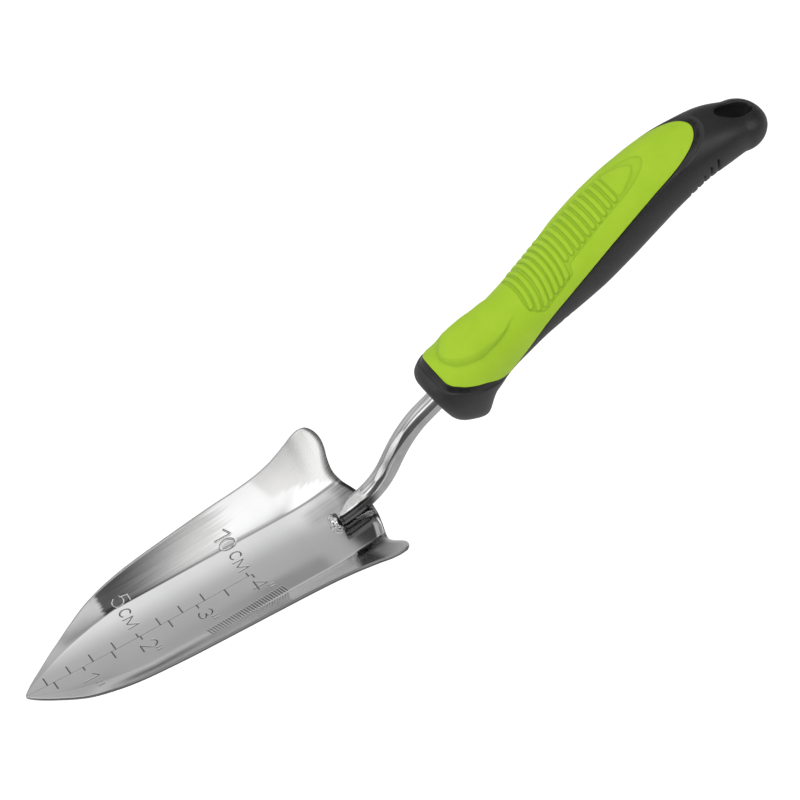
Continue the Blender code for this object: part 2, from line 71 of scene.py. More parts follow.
# -------------------------------------------------------------- tang sizes
TANG_R, TANG_NOSE, TANG_DEPTH = 0.43, 14.26, 10.4
TANG_SIDES = 96
LIE_END = 15.30                 # up to here the tang lies on the sheet
ELBOW, ELBOW_TILT = (16.91, 0, 2.08), 57            # middle of the bend and its slope
TAB_LONG, TAB_WIDE, TAB_THIN = 1.8, 1.16, 0.60      # flattened end inside the handle
FLAT_FROM, FLAT_TO, FLAT_CUT, FLAT_LEAN = 14.28, 15.46, 0.056, -8.0     # flat on the top
WEDGE_AT, WEDGE_Y, WEDGE_SLOPE = 14.28, -0.17, 0.56     # +Y side of the nose cut askew
GAP = 0.03                      # clearance round the parts set into the handle

# ------------------------------------------------------------ handle sizes
# A station is the distance from the handle's start along its centre line, and an
# angle is in degrees round the handle from its top.
HANDLE_X, HANDLE_Z, HANDLE_RISE = 19.0, 3.98, 26.6
# Station, height of the middle over the axis, half height
HANDLE = ((0.3, 0.08, 1.21), (0.8, 0.08, 1.45), (1.3, 0.11, 1.52), (1.8, 0.10, 1.49),
          (2.4, 0.18, 1.48), (3.1, 0.18, 1.365), (4.0, 0.10, 1.27), (5.0, 0.12, 1.28),
          (6.2, 0.13, 1.355), (7.4, 0.16, 1.46), (8.6, 0.245, 1.56), (9.8, 0.31, 1.58),
          (11.0, 0.33, 1.55), (12.2, 0.28, 1.475), (13.2, 0.235, 1.38), (14.2, 0.22, 1.265),
          (15.2, 0.205, 1.145), (16.2, 0.155, 0.945))
# Station, width over height
ROUNDNESS = ((0.0, 1.0), (2.0, 1.03), (4.0, 1.05), (12.0, 1.07), (14.0, 1.12), (16.2, 1.25))
SQUARENESS = 2.15
FACE, FACE_EDGE = 0.3, 0.30     # station of the front face; rounding of its edge
TAIL_BEND_START, TAIL_BEND = 12.0, 0.143            # the bend is in radians per cm
TAIL_END, TAIL_ROUND = 17.594, 1.2
GUARD_DROP, GUARD_AT, GUARD_LONG = 0.82, 1.35, 0.62     # swelling of the underside
HOLE_AT, HOLE_LONG, HOLE_WIDE, HOLE_SWING = 15.90, 1.90, 1.02, 15.4
HOLE_ROUND = 0.075
# Grip's edge: station, angle
GRIP = ((1.11, 33), (1.20, 42), (1.36, 50), (1.55, 59), (1.94, 73), (2.49, 92),
        (3.0, 114), (3.25, 122), (3.5, 119), (4.3, 105.5), (5.5, 90), (6.3, 82),
        (8.2, 70), (10.1, 64), (11.6, 59.5), (12.7, 54), (13.3, 47.5), (13.8, 38),
        (14.15, 26.5), (14.35, 15), (14.45, 4))
GRIP_THICK, GRIP_EDGE = 0.24, 0.032
PAD_HIGH = 0.145
# Foot and crest of the raised pad, ribbed panel and pointed field in it: station, angle
PAD_FOOT = ((1.59, 0), (1.67, 12), (1.89, 25.5), (2.28, 37), (2.84, 46.5), (3.54, 47),
            (4.17, 41), (4.49, 36.5), (5.05, 29))
PAD_CREST = ((1.74, 0), (1.86, 7), (2.15, 19), (2.58, 29.5), (3.0, 35), (3.38, 37.5),
             (3.8, 38.5), (4.21, 37.5), (4.6, 33.5), (5.05, 28))
PANEL = ((5.51, 0), (5.49, 14), (5.41, 30), (5.37, 45), (5.55, 57), (5.81, 67.5),
         (6.00, 68), (6.43, 63.5), (7.52, 55), (7.66, 50), (7.72, 42), (7.90, 38.5),
         (9.6, 33), (11.25, 27.4), (11.70, 23.5), (12.02, 19), (12.30, 12.5),
         (12.45, 7), (12.50, 0))
OGIVE = ((10.95, 0), (10.95, 21.5), (11.06, 22.5), (11.3, 19.5), (11.62, 14),
         (11.90, 8), (12.03, 4), (12.07, 0))
# Ribs: station and angle of their ends
RIBS = ((10.73, 24.4), (10.40, 25.0), (10.07, 27.3), (9.75, 28.9), (9.42, 29.2),
        (9.10, 30.3), (8.78, 31.0), (8.46, 31.5), (8.13, 31.4), (7.81, 31.0),
        (7.32, 51.5), (6.99, 53.9), (6.67, 55.8), (6.34, 57.7), (6.02, 59.8),
        (5.71, 56.6), (5.53, 45.3))
RIB_HALF, RIB_HIGH, PANEL_DEEP, OGIVE_HIGH = 0.116, 0.078, 0.052, 0.038
# Grooves across the underside: station, angle where they begin, depth
NOTCHES = ((6.15, 124, 0.07), (6.47, 126, 0.07), (6.80, 130, 0.06),
           (13.15, 116, 0.06), (13.52, 108, 0.07), (13.88, 100, 0.08),
           (14.24, 92, 0.08), (14.60, 86, 0.08))

RISE = radians(HANDLE_RISE)
AXIS = np.array([cos(RISE), 0.0, sin(RISE)])
NORMAL = np.array([-sin(RISE), 0.0, cos(RISE)])
START = np.array([HANDLE_X, 0.0, HANDLE_Z])


# ---------------------------------------------------------------- numerics
def spline(table, x, column=1):
    """Monotone cubic through the rows of a table, for arrays."""
    knots = np.array([row[0] for row in table], float)
    levels = np.array([row[column] for row in table], float)
    gaps = np.diff(knots)
    rises = np.diff(levels) / gaps
    slopes = np.zeros(len(knots))
    slopes[0], slopes[-1] = rises[0], rises[-1]
    for k in range(1, len(knots) - 1):
        if rises[k - 1] * rises[k] > 0:
            before, after = 2 * gaps[k] + gaps[k - 1], gaps[k] + 2 * gaps[k - 1]
            slopes[k] = (before + after) / (before / rises[k - 1] + after / rises[k])
    x = np.clip(np.asarray(x, float), knots[0], knots[-1])
    i = np.clip(np.searchsorted(knots, x, side="right") - 1, 0, len(knots) - 2)
    part = (x - knots[i]) / gaps[i]
    return ((2 * part**3 - 3 * part**2 + 1) * levels[i]
            + (part**3 - 2 * part**2 + part) * gaps[i] * slopes[i]
            + (3 * part**2 - 2 * part**3) * levels[i + 1]
            + (part**3 - part**2) * gaps[i] * slopes[i + 1])


def smooth(share):
    share = np.clip(share, 0.0, 1.0)
    return share * share * (3 - 2 * share)


def unit(vectors):
    return vectors / np.maximum(np.linalg.norm(vectors, axis=-1, keepdims=True), 1e-12)


def lengths(line):
    """Length along a line at each of its points."""
    return np.r_[0, np.cumsum(np.linalg.norm(np.diff(line, axis=0), axis=1))]


def resample(line, step):
    line = np.asarray(line, float)
    length = lengths(line)
    count = max(int(round(length[-1] / step)), 2)
    at = np.linspace(0, length[-1], count + 1)
    return np.stack([np.interp(at, length, line[:, k]) for k in range(line.shape[1])], 1)


def rounded(line, rounds):
    """Laplacian smoothing of an open line; its ends stay."""
    line = line.copy()
    for _ in range(rounds):
        line[1:-1] = line[1:-1] * 0.5 + (line[:-2] + line[2:]) * 0.25
    return line


def rounded_loop(loop, rounds):
    for _ in range(rounds):
        loop = loop * 0.5 + (np.roll(loop, 1, 0) + np.roll(loop, -1, 0)) * 0.25
    return loop


def segment_distances(points, starts, ends, chunk=4000):
    """Yields slices of the points with their squared distances to every segment."""
    spans = ends - starts
    squares = np.maximum((spans**2).sum(1), 1e-12)
    for i in range(0, len(points), chunk):
        part = slice(i, i + chunk)
        away = points[part, None, :] - starts[None]
        share = np.clip((away * spans[None]).sum(2) / squares, 0, 1)
        yield part, ((away - share[..., None] * spans[None])**2).sum(2)


def line_distance(points, line, closed=False):
    """Least distance from each point to a line or a closed loop."""
    starts, ends = (line, np.roll(line, -1, 0)) if closed else (line[:-1], line[1:])
    out = np.empty(len(points))
    for part, squares in segment_distances(points, starts, ends):
        out[part] = np.sqrt(squares.min(1))
    return out


def inside(points, loop):
    """Even-odd test of points against a closed polygon."""
    x, y = points[:, 0], points[:, 1]
    hit = np.zeros(len(points), bool)
    for (x0, y0), (x1, y1) in zip(loop, np.roll(loop, -1, 0)):
        if y0 == y1:
            continue
        cross = (y0 > y) != (y1 > y)
        hit ^= cross & (x < (x1 - x0) * (y - y0) / (y1 - y0) + x0)
    return hit


def within(points, loop, gap):
    """The points inside a loop and farther than a gap from it."""
    points = points[inside(points, loop)]
    return points[line_distance(points, loop, closed=True) > gap]


def lattice(along, across, stagger=0.0):
    """Points of a grid from two (start, stop, step); every other row is staggered."""
    x, y = np.meshgrid(np.arange(*along), np.arange(*across))
    x = x + (np.arange(x.shape[0])[:, None] % 2) * stagger
    return np.c_[x.ravel(), y.ravel()]


def thin_out(groups):
    """Points of several groups (array, least spacing), earlier groups first."""
    cell, kept, cells = 0.05, [], {}
    for points, gap in groups:
        reach = int(np.ceil(gap / cell))
        for point in np.asarray(points, float):
            i, j = int(point[0] // cell), int(point[1] // cell)
            near = any((kept[k][0] - point[0])**2 + (kept[k][1] - point[1])**2 < gap * gap
                       for column in range(i - reach, i + reach + 1)
                       for row in range(j - reach, j + reach + 1)
                       for k in cells.get((column, row), ()))
            if not near:
                cells.setdefault((i, j), []).append(len(kept))
                kept.append((point[0], point[1]))
    return np.array(kept).reshape(-1, 2)


def fill(outline, points, holes=()):
    """Triangles inside a closed outline; returns the plan's points, loops first."""
    verts, edges = [], []
    for loop in [outline, *holes]:
        first, count = len(verts), len(loop)
        verts += [Vector((float(x), float(y))) for x, y in loop]
        edges += [(first + i, first + (i + 1) % count) for i in range(count)]
    verts += [Vector((float(x), float(y))) for x, y in points]
    out, _, faces, *_ = delaunay_2d_cdt(verts, edges, [], 1, 1e-7)
    plan = np.array([(v.x, v.y) for v in out])
    tris = np.array([face for face in faces if len(face) == 3], int)
    corner = plan[tris[:, 0]]
    one, two = plan[tris[:, 1]] - corner, plan[tris[:, 2]] - corner
    area = one[:, 0] * two[:, 1] - two[:, 0] * one[:, 1]
    tris[area < 0] = tris[area < 0][:, ::-1]
    for hole in holes:
        tris = tris[~inside(plan[tris].mean(1), hole)]
    return plan, tris


class Shell:
    """Collects vertices and faces of one closed body, in centimetres."""

    def __init__(self):
        self.verts, self.normals, self.faces, self.marks = [], [], [], []
        self.count = 0

    def add(self, points, normals=None, mark=0.0):
        points = np.asarray(points, float)
        self.verts.append(points)
        self.normals.append(np.zeros_like(points) if normals is None else normals)
        self.marks.append(np.broadcast_to(np.asarray(mark, float), (len(points),)))
        index = np.arange(self.count, self.count + len(points))
        self.count += len(points)
        return index

    def tris(self, index, tris, flip=False):
        faces = index[tris]
        self.faces += (faces[:, ::-1] if flip else faces).tolist()

    def bridge(self, one, two):
        count = len(one)
        for i in range(count):
            j = (i + 1) % count
            self.faces.append((int(one[i]), int(one[j]), int(two[j]), int(two[i])))

    def loft(self, rings, last):
        """Adds rings, each bridged to the one before; returns the last."""
        for ring in rings:
            now = self.add(ring)
            self.bridge(last, now)
            last = now
        return last

    def fan(self, ring, tip):
        count = len(ring)
        for i in range(count):
            self.faces.append((int(ring[i]), int(ring[(i + 1) % count]), int(tip)))

    def spindle(self, rings, start, end):
        """A body of rings between two tips."""
        first = self.add(rings[0])
        last = self.loft(rings[1:], first)
        start, end = self.add([start]), self.add([end])
        self.fan(first[::-1], start[0])
        self.fan(last, end[0])

    def cap(self, ring):
        self.faces.append(tuple(int(i) for i in ring))

    def build(self, name, material, own_normals=False, sharp=None, merge=False, marks=()):
        mesh = bpy.data.meshes.new(name)
        mesh.from_pydata((np.vstack(self.verts) * CM + SHIFT).tolist(), [], self.faces)
        for label, values in (("mark", np.concatenate(self.marks)), *marks):
            layer = mesh.attributes.new(label, "FLOAT", "POINT")
            layer.data.foreach_set("value", values.astype(np.float32))
        mesh.update()
        if not own_normals:
            bm = bmesh.new()
            bm.from_mesh(mesh)
            if merge:
                bmesh.ops.remove_doubles(bm, verts=bm.verts, dist=MERGE * CM)
            bmesh.ops.recalc_face_normals(bm, faces=bm.faces)
            bm.to_mesh(mesh)
            bm.free()
        mesh.shade_smooth()
        if sharp is not None:
            mesh.set_sharp_from_angle(angle=radians(sharp))
        if own_normals:
            mesh.normals_split_custom_set_from_vertices(np.vstack(self.normals).tolist())
        mesh.materials.append(material)
        made = bpy.data.objects.new(name, mesh)
        bpy.context.scene.collection.objects.link(made)
        return made


def settle(made, node):
    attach(made, "root")
    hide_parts(node)


# ------------------------------------------------------------------- blade
def floor_height(x):
    x = np.asarray(x, float)
    bow = BOW_2 * (x - BOW_MID)**2 + BOW_3 * (x - BOW_MID)**3
    bow = bow * (1 - smooth((x - BOW_FADE) / (BOW_END - BOW_FADE)))
    return bow + HEEL_LIFT * np.maximum(x - HEEL_START, 0)**2


def rim_and_fold(x):
    """Half widths at the rim and at the crease."""
    half = spline(RIM, np.minimum(x, BLADE_SIDE), 1)
    return half, np.minimum(FOLD_AT, FOLD_SHARE * half)


def wall_place(x, y):
    """0 at the crease and 1 at the rim, for the side walls."""
    half, fold = rim_and_fold(x)
    return (np.abs(y) - fold) / np.maximum(half - fold, 1e-6)


def blade_height(x, y):
    side = np.minimum(x, BLADE_SIDE)
    half, fold = rim_and_fold(x)
    base = floor_height(x)
    rim = spline(RIM, side, 2) + (base - floor_height(side)) * 0.35
    soft = np.minimum(FOLD_SOFT + FOLD_EXTRA * (y < 0) * smooth((9.5 - x) / 3.5), 0.2 * half)
    wide = np.maximum(half - fold, 1e-6)
    mean = np.maximum(rim - base - DISH * fold**2, 0.0) / wide
    lean = 2 * DISH * fold
    turn = np.maximum(mean * (1 - HOLLOW) - lean, 0.0)
    past = np.abs(y) - fold
    dish = np.where(past < 0, DISH * y**2, DISH * fold**2 + lean * past)
    bend = np.where(past >= soft, turn * past,
                    turn * np.clip(past + soft, 0, None)**2 / (4 * np.maximum(soft, 1e-6)))
    # The heel's edge is rolled down, widely in the middle and tightly on the ears.
    edge = spline(HEEL, np.minimum(np.abs(y), HEEL[-1][0])) - x
    reach = LIP_MIDDLE + (LIP_EAR - LIP_MIDDLE) * smooth((np.abs(y) - 2.1) / 1.2)
    lip = (LIP_SLOPE / (2 * reach) * np.clip(reach - edge, 0, None)**2
           * smooth((4.05 - np.abs(y)) / 0.3))
    return base + dish + bend + mean * HOLLOW * np.maximum(past, 0)**2 / wide - lip


# Strokes of the depth scale.  A glyph is drawn in its own unit frame, across and up;
# on the blade across runs along -Y and up along +X.
def arc(across, up, wide, high, start, stop, count=14):
    turns = [radians(start + (stop - start) * i / count) for i in range(count + 1)]
    return [(across + wide * cos(turn), up + high * sin(turn)) for turn in turns]


GLYPHS = {
    "0": [arc(0.5, 0.5, 0.46, 0.5, 0, 360, 28)],
    "1": [[(0.12, 0.72), (0.62, 1.0), (0.62, 0.0)]],
    "2": [arc(0.48, 0.70, 0.42, 0.30, 165, -35) + [(0.06, 0.0), (0.94, 0.0)]],
    "3": [arc(0.46, 0.745, 0.38, 0.255, 150, -90), arc(0.46, 0.255, 0.44, 0.255, 90, -155)],
    "4": [[(0.70, 0.0), (0.70, 1.0), (0.02, 0.27), (0.98, 0.27)]],
    "5": [[(0.90, 1.0), (0.26, 1.0), (0.20, 0.56)] + arc(0.48, 0.34, 0.42, 0.34, 125, -150, 16)],
    "C": [arc(0.56, 0.5, 0.50, 0.5, 48, 312, 18)],
    "M": [[(0.06, 0.0), (0.10, 1.0), (0.50, 0.12), (0.90, 1.0), (0.94, 0.0)]],
    '"': [[(0.18, 0.0), (0.18, 1.0)], [(0.82, 0.0), (0.82, 1.0)]],
}
# Glyph, x of its foot, y of its first side, height, width, half stroke, depth
LETTERING = (
    ("5", 4.87, 2.045, 0.72, 0.39, 0.040, 0.022), ("C", 4.90, 1.505, 0.45, 0.33, 0.034, 0.020),
    ("M", 4.88, 1.085, 0.43, 0.56, 0.030, 0.018), ("1", 9.68, 2.30, 0.73, 0.42, 0.040, 0.022),
    ("0", 9.73, 1.96, 0.70, 0.38, 0.040, 0.022), ("C", 9.86, 1.37, 0.46, 0.34, 0.034, 0.020),
    ("M", 9.80, 0.935, 0.46, 0.57, 0.030, 0.018), ("1", 2.26, -0.46, 0.64, 0.42, 0.033, 0.018),
    ('"', 2.63, -0.98, 0.24, 0.33, 0.033, 0.018), ("2", 4.85, -0.41, 0.66, 0.41, 0.033, 0.018),
    ('"', 5.34, -0.86, 0.22, 0.24, 0.033, 0.018), ("3", 7.43, -0.41, 0.57, 0.41, 0.033, 0.018),
    ('"', 7.86, -0.86, 0.20, 0.24, 0.033, 0.018), ("4", 9.85, -0.36, 0.62, 0.50, 0.033, 0.018),
    ('"', 10.43, -0.86, 0.19, 0.22, 0.028, 0.018))
INCH = 2.54
# Ticks: x, length towards +Y.  Centimetres run on the +Y side, half inches on the other.
TICKS = [(x, 0.20 if x in (5, 10) else 0.40) for x in (1, 2, 3, 4, 5, 6, 7, 8, 10)]
TICKS += [(k * INCH / 2, -0.37 if k % 2 else -0.19) for k in range(1, 9)]
BASE_LINE, BASE_HALF, BASE_DEEP = ((0.10, 0.0), (10.17, 0.0)), 0.016, 0.006
TICK_HALF, TICK_DEEP = 0.034, 0.018
HATCHES, HATCH_HALF, HATCH_DEEP = 30, 0.036, 0.020
HATCH_START, HATCH_SPAN, HATCH_STROKE = (7.36, -1.41), (3.44, 0.13), (0.075, -0.35)


def scale_strokes():
    """(polyline on the plan, half width, depth) for every engraved stroke."""
    strokes = [(BASE_LINE, BASE_HALF, BASE_DEEP)]
    strokes += [([(x, 0.0), (x, reach)], TICK_HALF, TICK_DEEP) for x, reach in TICKS]
    for kind, x, y, high, wide, half, deep in LETTERING:
        for line in GLYPHS[kind]:
            spots = [(x + up * high, y - across * wide) for across, up in line]
            strokes.append((spots, half, deep))
    for i in range(HATCHES):
        x, y = (HATCH_START[k] + HATCH_SPAN[k] * i / (HATCHES - 1) for k in (0, 1))
        end = (x + HATCH_STROKE[0], y + HATCH_STROKE[1])
        strokes.append(([(x, y), end], HATCH_HALF, HATCH_DEEP))
    return strokes


STROKES = scale_strokes()
CUT_STARTS, CUT_ENDS, CUT_HALVES, CUT_DEPTHS = (np.array(part, float) for part in zip(*(
    (start, end, half, deep) for line, half, deep in STROKES
    for start, end in zip(line, line[1:]))))


def groove(points):
    """Depth of the engraving and its painted shade, 0..1."""
    deep, dark = np.zeros(len(points)), np.zeros(len(points))
    at = np.where((points[:, 0] < 11.4) & (np.abs(points[:, 1]) < 2.6))[0]
    for part, squares in segment_distances(points[at], CUT_STARTS, CUT_ENDS):
        cut = 1 - smooth(np.sqrt(squares) / CUT_HALVES[None])
        deep[at[part]] = (cut * CUT_DEPTHS[None]).max(1)
        dark[at[part]] = cut.max(1)
    return deep, dark


def blade_top(plan, engraved=True):
    """Points and normals of the upper face over points of the plan."""
    def height(spots):
        level = blade_height(spots[:, 0], spots[:, 1])
        return level - groove(spots)[0] if engraved else level

    step = 0.004
    slopes = [(height(plan + move) - height(plan - move)) / (2 * step)
              for move in (np.array([step, 0]), np.array([0, step]))]
    return (np.c_[plan, height(plan)],
            unit(np.c_[-slopes[0], -slopes[1], np.ones(len(plan))]))


def blade_outline():
    """Outline of the plan, counter-clockwise from the tip, and its outward normals."""
    side_x = BLADE_SIDE * np.linspace(0, 1, 240)**1.12
    heel_y = np.linspace(1, 0, 80) * HEEL[-1][0]
    half = resample(np.c_[np.r_[side_x, spline(HEEL, heel_y)[1:]],
                          np.r_[spline(RIM, side_x), heel_y[1:]]], 0.065)
    loop = np.vstack([half * [1, -1], half[::-1][1:-1]])
    keep = smooth((loop[:, 0] - 0.5) / 0.4)[:, None]
    loop = rounded_loop(loop, 3) * keep + rounded_loop(loop, 5) * (1 - keep)
    ahead = np.roll(loop, -1, 0) - np.roll(loop, 1, 0)
    return loop, unit(np.c_[ahead[:, 1], -ahead[:, 0]])


def engraving_points():
    """Plan points along, beside and round the ends of every stroke."""
    spots = []
    for line, half, _ in STROKES:
        fine = resample(line, 0.030)
        way = unit(np.gradient(fine, axis=0))
        across = np.c_[-way[:, 1], way[:, 0]]
        for k in (0.0, 0.33, -0.33, 0.66, -0.66, 1.0, -1.0, 1.6, -1.6):
            spots.append(fine + across * k * half)
        for end, sign in ((0, -1), (-1, 1)):
            out = way[end] * sign
            for turn in np.radians((-90, -45, 0, 45, 90)):
                ray = np.array([out[0] * cos(turn) - out[1] * sin(turn),
                                out[0] * sin(turn) + out[1] * cos(turn)])
                for k in (0.33, 0.66, 1.0, 1.6):
                    spots.append((fine[end] + ray * half * k)[None])
    return np.vstack(spots)


def make_blade(material):
    loop, out = blade_outline()
    inner = loop - out * EDGE_ROUND
    count = len(inner)
    groups = [(engraving_points(), 0.0085)]
    groups += [(inner - out * inset, gap) for inset, gap in ((0.05, 0.03), (0.12, 0.05))]
    groups.append((lattice((0.05, 15.8, 0.075), (-3.98, 3.99, 0.07), 0.0375), 0.052))
    flat, tris = fill(inner, within(thin_out(groups), inner, 0.02))

    shell = Shell()
    top, normals = blade_top(flat)
    index = shell.add(top, normals, groove(flat)[1])
    shell.tris(index, tris)

    # Rounded rim
    inner_top, inner_normals = blade_top(inner, engraved=False)
    outer_top, outer_normals = blade_top(loop, engraved=False)
    way = unit(outer_top - inner_top)
    reach = np.linalg.norm(outer_top - inner_top, axis=1)[:, None]
    up = unit(inner_normals + outer_normals)
    high = SHEET / 2
    last = index[:count]
    for turn in np.radians((18, 38, 60, 90, 120, 142, 162)):
        ring = inner_top + way * reach * sin(turn) - up * (high * (1 - cos(turn)))
        now = shell.add(ring, unit(up * cos(turn) * reach + way * sin(turn) * high))
        shell.bridge(now, last)
        last = now

    # Underside: its own coarser plan, joined to the last ring of the rim
    low = thin_out([(inner - out * 0.06, 0.04),
                    (lattice((0.1, 15.7, 0.16), (-3.92, 3.93, 0.14), 0.08), 0.11)])
    low_flat, low_tris = fill(inner, within(low, inner, 0.03))
    under, normals = blade_top(low_flat, engraved=False)
    under = under - normals * SHEET
    under[:count] = inner_top - up * SHEET
    index = shell.add(under, -normals)
    shell.tris(index, low_tris, flip=True)
    shell.bridge(index[:count], last)

    everything = np.vstack(shell.verts)
    wall = wall_place(everything[:, 0], everything[:, 1])
    rim = np.zeros(len(everything))
    rim[len(flat) + count:len(everything) - len(low_flat)] = 1.0
    return shell.build("trowel_blade", material, own_normals=True,
                       marks=(("wall", wall), ("rim", rim)))


# -------------------------------------------------------------------- tang
def bezier(start, lead, trail, end, share):
    rest = 1 - share
    return (start * rest**3 + lead * (3 * rest * rest * share)
            + trail * (3 * rest * share * share) + end * share**3)


def tang_path():
    """Centre line: along the sheet, up the double bend and into the handle."""
    lie = TANG_R + 0.005
    points = []
    for x in np.linspace(TANG_NOSE, LIE_END, 44):
        slope = 2 * HEEL_LIFT * (x - HEEL_START)
        k = sqrt(1 + slope * slope)
        points.append(np.array([x - slope / k * lie, 0, float(floor_height(x)) + lie / k]))
    begin = points[-1]
    way = unit(np.array([1, 0, 2 * HEEL_LIFT * (LIE_END - HEEL_START)]))
    middle = np.array(ELBOW)
    steep = np.array([cos(radians(ELBOW_TILT)), 0, sin(radians(ELBOW_TILT))])
    end = START - AXIS * 0.35
    for curve in ((begin, begin + way * 0.95, middle - steep * 0.62, middle),
                  (middle, middle + steep * 0.72, end - AXIS * 0.95, end)):
        points += [bezier(*curve, i / 30) for i in range(1, 31)]
    straight = TANG_DEPTH - TAB_LONG
    points += [START + AXIS * (FACE + (straight - FACE) * i / 3) for i in range(4)]
    return rounded(np.array(points), 4)


def tab_rings(grow, angles):
    """Rings of the tang's flattened end, grown by a clearance; angles in radians."""
    rings = []
    for along, share in ((0.45, 1.0), (TAB_LONG - 0.12, 1.0), (TAB_LONG + grow, 0.86)):
        centre = START + AXIS * (TANG_DEPTH - TAB_LONG + along)
        wide, thin = TAB_WIDE / 2 * share + grow, TAB_THIN / 2 * share + grow
        across = wide * np.sign(np.sin(angles)) * np.abs(np.sin(angles))**0.7
        up = thin * np.sign(np.cos(angles)) * np.abs(np.cos(angles))**0.7
        rings.append(centre + np.outer(across, [0, 1, 0]) + np.outer(up, NORMAL))
    return rings


def make_tang(material):
    """The tang: its nose cut askew at the weld, with a shallow flat on its top."""
    side = np.array([0.0, 1.0, 0.0])
    angles = 2 * pi * np.arange(TANG_SIDES) / TANG_SIDES
    path = tang_path()
    way = unit(np.gradient(path, axis=0))
    ends = [np.array([x, 0, float(np.interp(x, path[:, 0], path[:, 2])) + TANG_R - FLAT_CUT])
            for x in (FLAT_FROM, FLAT_TO)]
    slant = unit(ends[1] - ends[0])
    lean = radians(FLAT_LEAN)
    up = np.array([-slant[2], 0, slant[0]]) * cos(lean) + np.array([0, sin(lean), 0])
    shell = Shell()
    last, first = None, None
    for centre, tangent in zip(path, way):
        points = (centre + np.outer(np.sin(angles), side) * TANG_R
                  + np.outer(np.cos(angles), np.cross(tangent, side)) * TANG_R)
        mark = 0.0
        if centre[0] < FLAT_TO + 0.2:
            over = (points - ends[0]) @ up - (1 - cos(lean)) * TANG_R + 0.05 * points[:, 1]**2
            cut = np.maximum(over, 0) * float(1 - smooth((centre[0] - FLAT_TO) / 0.09))
            points = points - cut[:, None] * up
            mark = (cut > 0.0005).astype(float)
            limit = WEDGE_Y + WEDGE_SLOPE * (points[:, 0] - WEDGE_AT)
            points[:, 1] = np.minimum(points[:, 1], limit)
            # Slight taper at the nose
            nose = float(1 - smooth((centre[0] - TANG_NOSE) / 0.10))
            points = centre + (points - centre) * (1 - 0.07 * nose**2)
        ring = shell.add(points, mark=mark)
        if last is None:
            first = ring
        else:
            shell.bridge(last, ring)
        last = ring
    last = shell.loft(tab_rings(0, angles), last)
    shell.cap(first[::-1])
    shell.cap(last)
    return shell.build("tang_rod", material, sharp=20)


# ------------------------------------------------------------------- welds
# Line of a bead on the sheet, for the +Y side; radius at its two ends
BEAD_LINE = np.array([(14.85, 0.26), (15.15, 0.34), (15.40, 0.40), (15.64, 0.44)])
BEAD_UP, BEAD_RADII, BEAD_FLATTEN, BEAD_SIDES = 0.05, (0.05, 0.16), 0.95, 26
RIPPLE, RIPPLE_PITCH = 0.03, 0.085
BLOB_AT, BLOB_SIZE, BLOB_SEED = (14.12, 0.12, 0.26), (0.27, 0.34, 0.27), 1.3
BLOB_RINGS, BLOB_SIDES = 44, 64


def waves(points, seed):
    """Smooth noise from a few sines, -1..1."""
    x, y, z = points[..., 0], points[..., 1], points[..., 2]
    broad = np.sin(x * 1.7 + y * 2.3 + seed) * np.cos(y * 1.9 - z * 2.1 + seed * 1.7)
    middle = np.sin(x * 4.1 - z * 3.7 + seed * 2.3) * np.cos(y * 4.7 + x * 2.9 - seed)
    return (broad + 0.5 * middle + 0.25 * np.sin(x * 9.3 + y * 7.1 + z * 8.3 + seed)) / 1.75


def make_bead(name, material, sign, seed):
    """A bead of weld: a rippled, lumpy roll along a line on the sheet."""
    plan = BEAD_LINE * [1, sign]
    line = np.c_[plan, blade_height(plan[:, 0], plan[:, 1]) + BEAD_UP]
    line = rounded(resample(line, 0.018), 6)
    way = unit(np.gradient(line, axis=0))
    share = np.linspace(0, 1, len(line))
    shape = np.sqrt(np.clip(1 - (2 * share - 1)**6, 0, 1))
    length = lengths(line)
    angles = 2 * pi * np.arange(BEAD_SIDES) / BEAD_SIDES
    rings = []
    for i in range(1, len(line) - 1):
        side = unit(np.cross(way[i], [0, 0, 1.0]))
        up = np.cross(side, way[i])
        radius = BEAD_RADII[0] + (BEAD_RADII[1] - BEAD_RADII[0]) * share[i]
        radius = radius * shape[i] * (1 + RIPPLE * sin(length[i] / RIPPLE_PITCH * 2 * pi))
        ring = (line[i] + np.outer(np.cos(angles), side) * radius
                + np.outer(np.sin(angles), up) * radius * BEAD_FLATTEN)
        bump = waves(ring * 3.0, seed) * 0.16 * radius + waves(ring * 7.0, seed + 3) * 0.03 * radius
        rings.append(ring + unit(ring - line[i]) * bump[:, None])
    shell = Shell()
    shell.spindle(rings, line[0], line[-1])
    return shell.build(name, material)


def make_blob(material):
    """A frozen drop of weld at the nose, sunk into the sheet."""
    around = 2 * pi * np.arange(BLOB_SIDES) / BLOB_SIDES
    rings = []
    for i in range(1, BLOB_RINGS):
        down = pi * i / BLOB_RINGS
        ray = np.c_[sin(down) * np.cos(around), sin(down) * np.sin(around),
                    np.full(BLOB_SIDES, cos(down))]
        fold = np.sin(ray[:, 0] * 2.6 - ray[:, 1] * 3.4 + ray[:, 2] * 1.7 + BLOB_SEED)**2
        grow = (1 + 0.09 * np.sin(ray[:, 0] * 1.9 + ray[:, 2] * 1.3 + BLOB_SEED)
                + 0.10 * (fold - 0.5))
        rings.append(np.asarray(BLOB_AT) + ray * np.asarray(BLOB_SIZE) * grow[:, None])
    tip = np.array([0, 0, BLOB_SIZE[2] * 0.004])
    shell = Shell()
    shell.spindle(rings, rings[0].mean(0) + tip, rings[-1].mean(0) - tip)
    return shell.build("weld_bead_front", material)


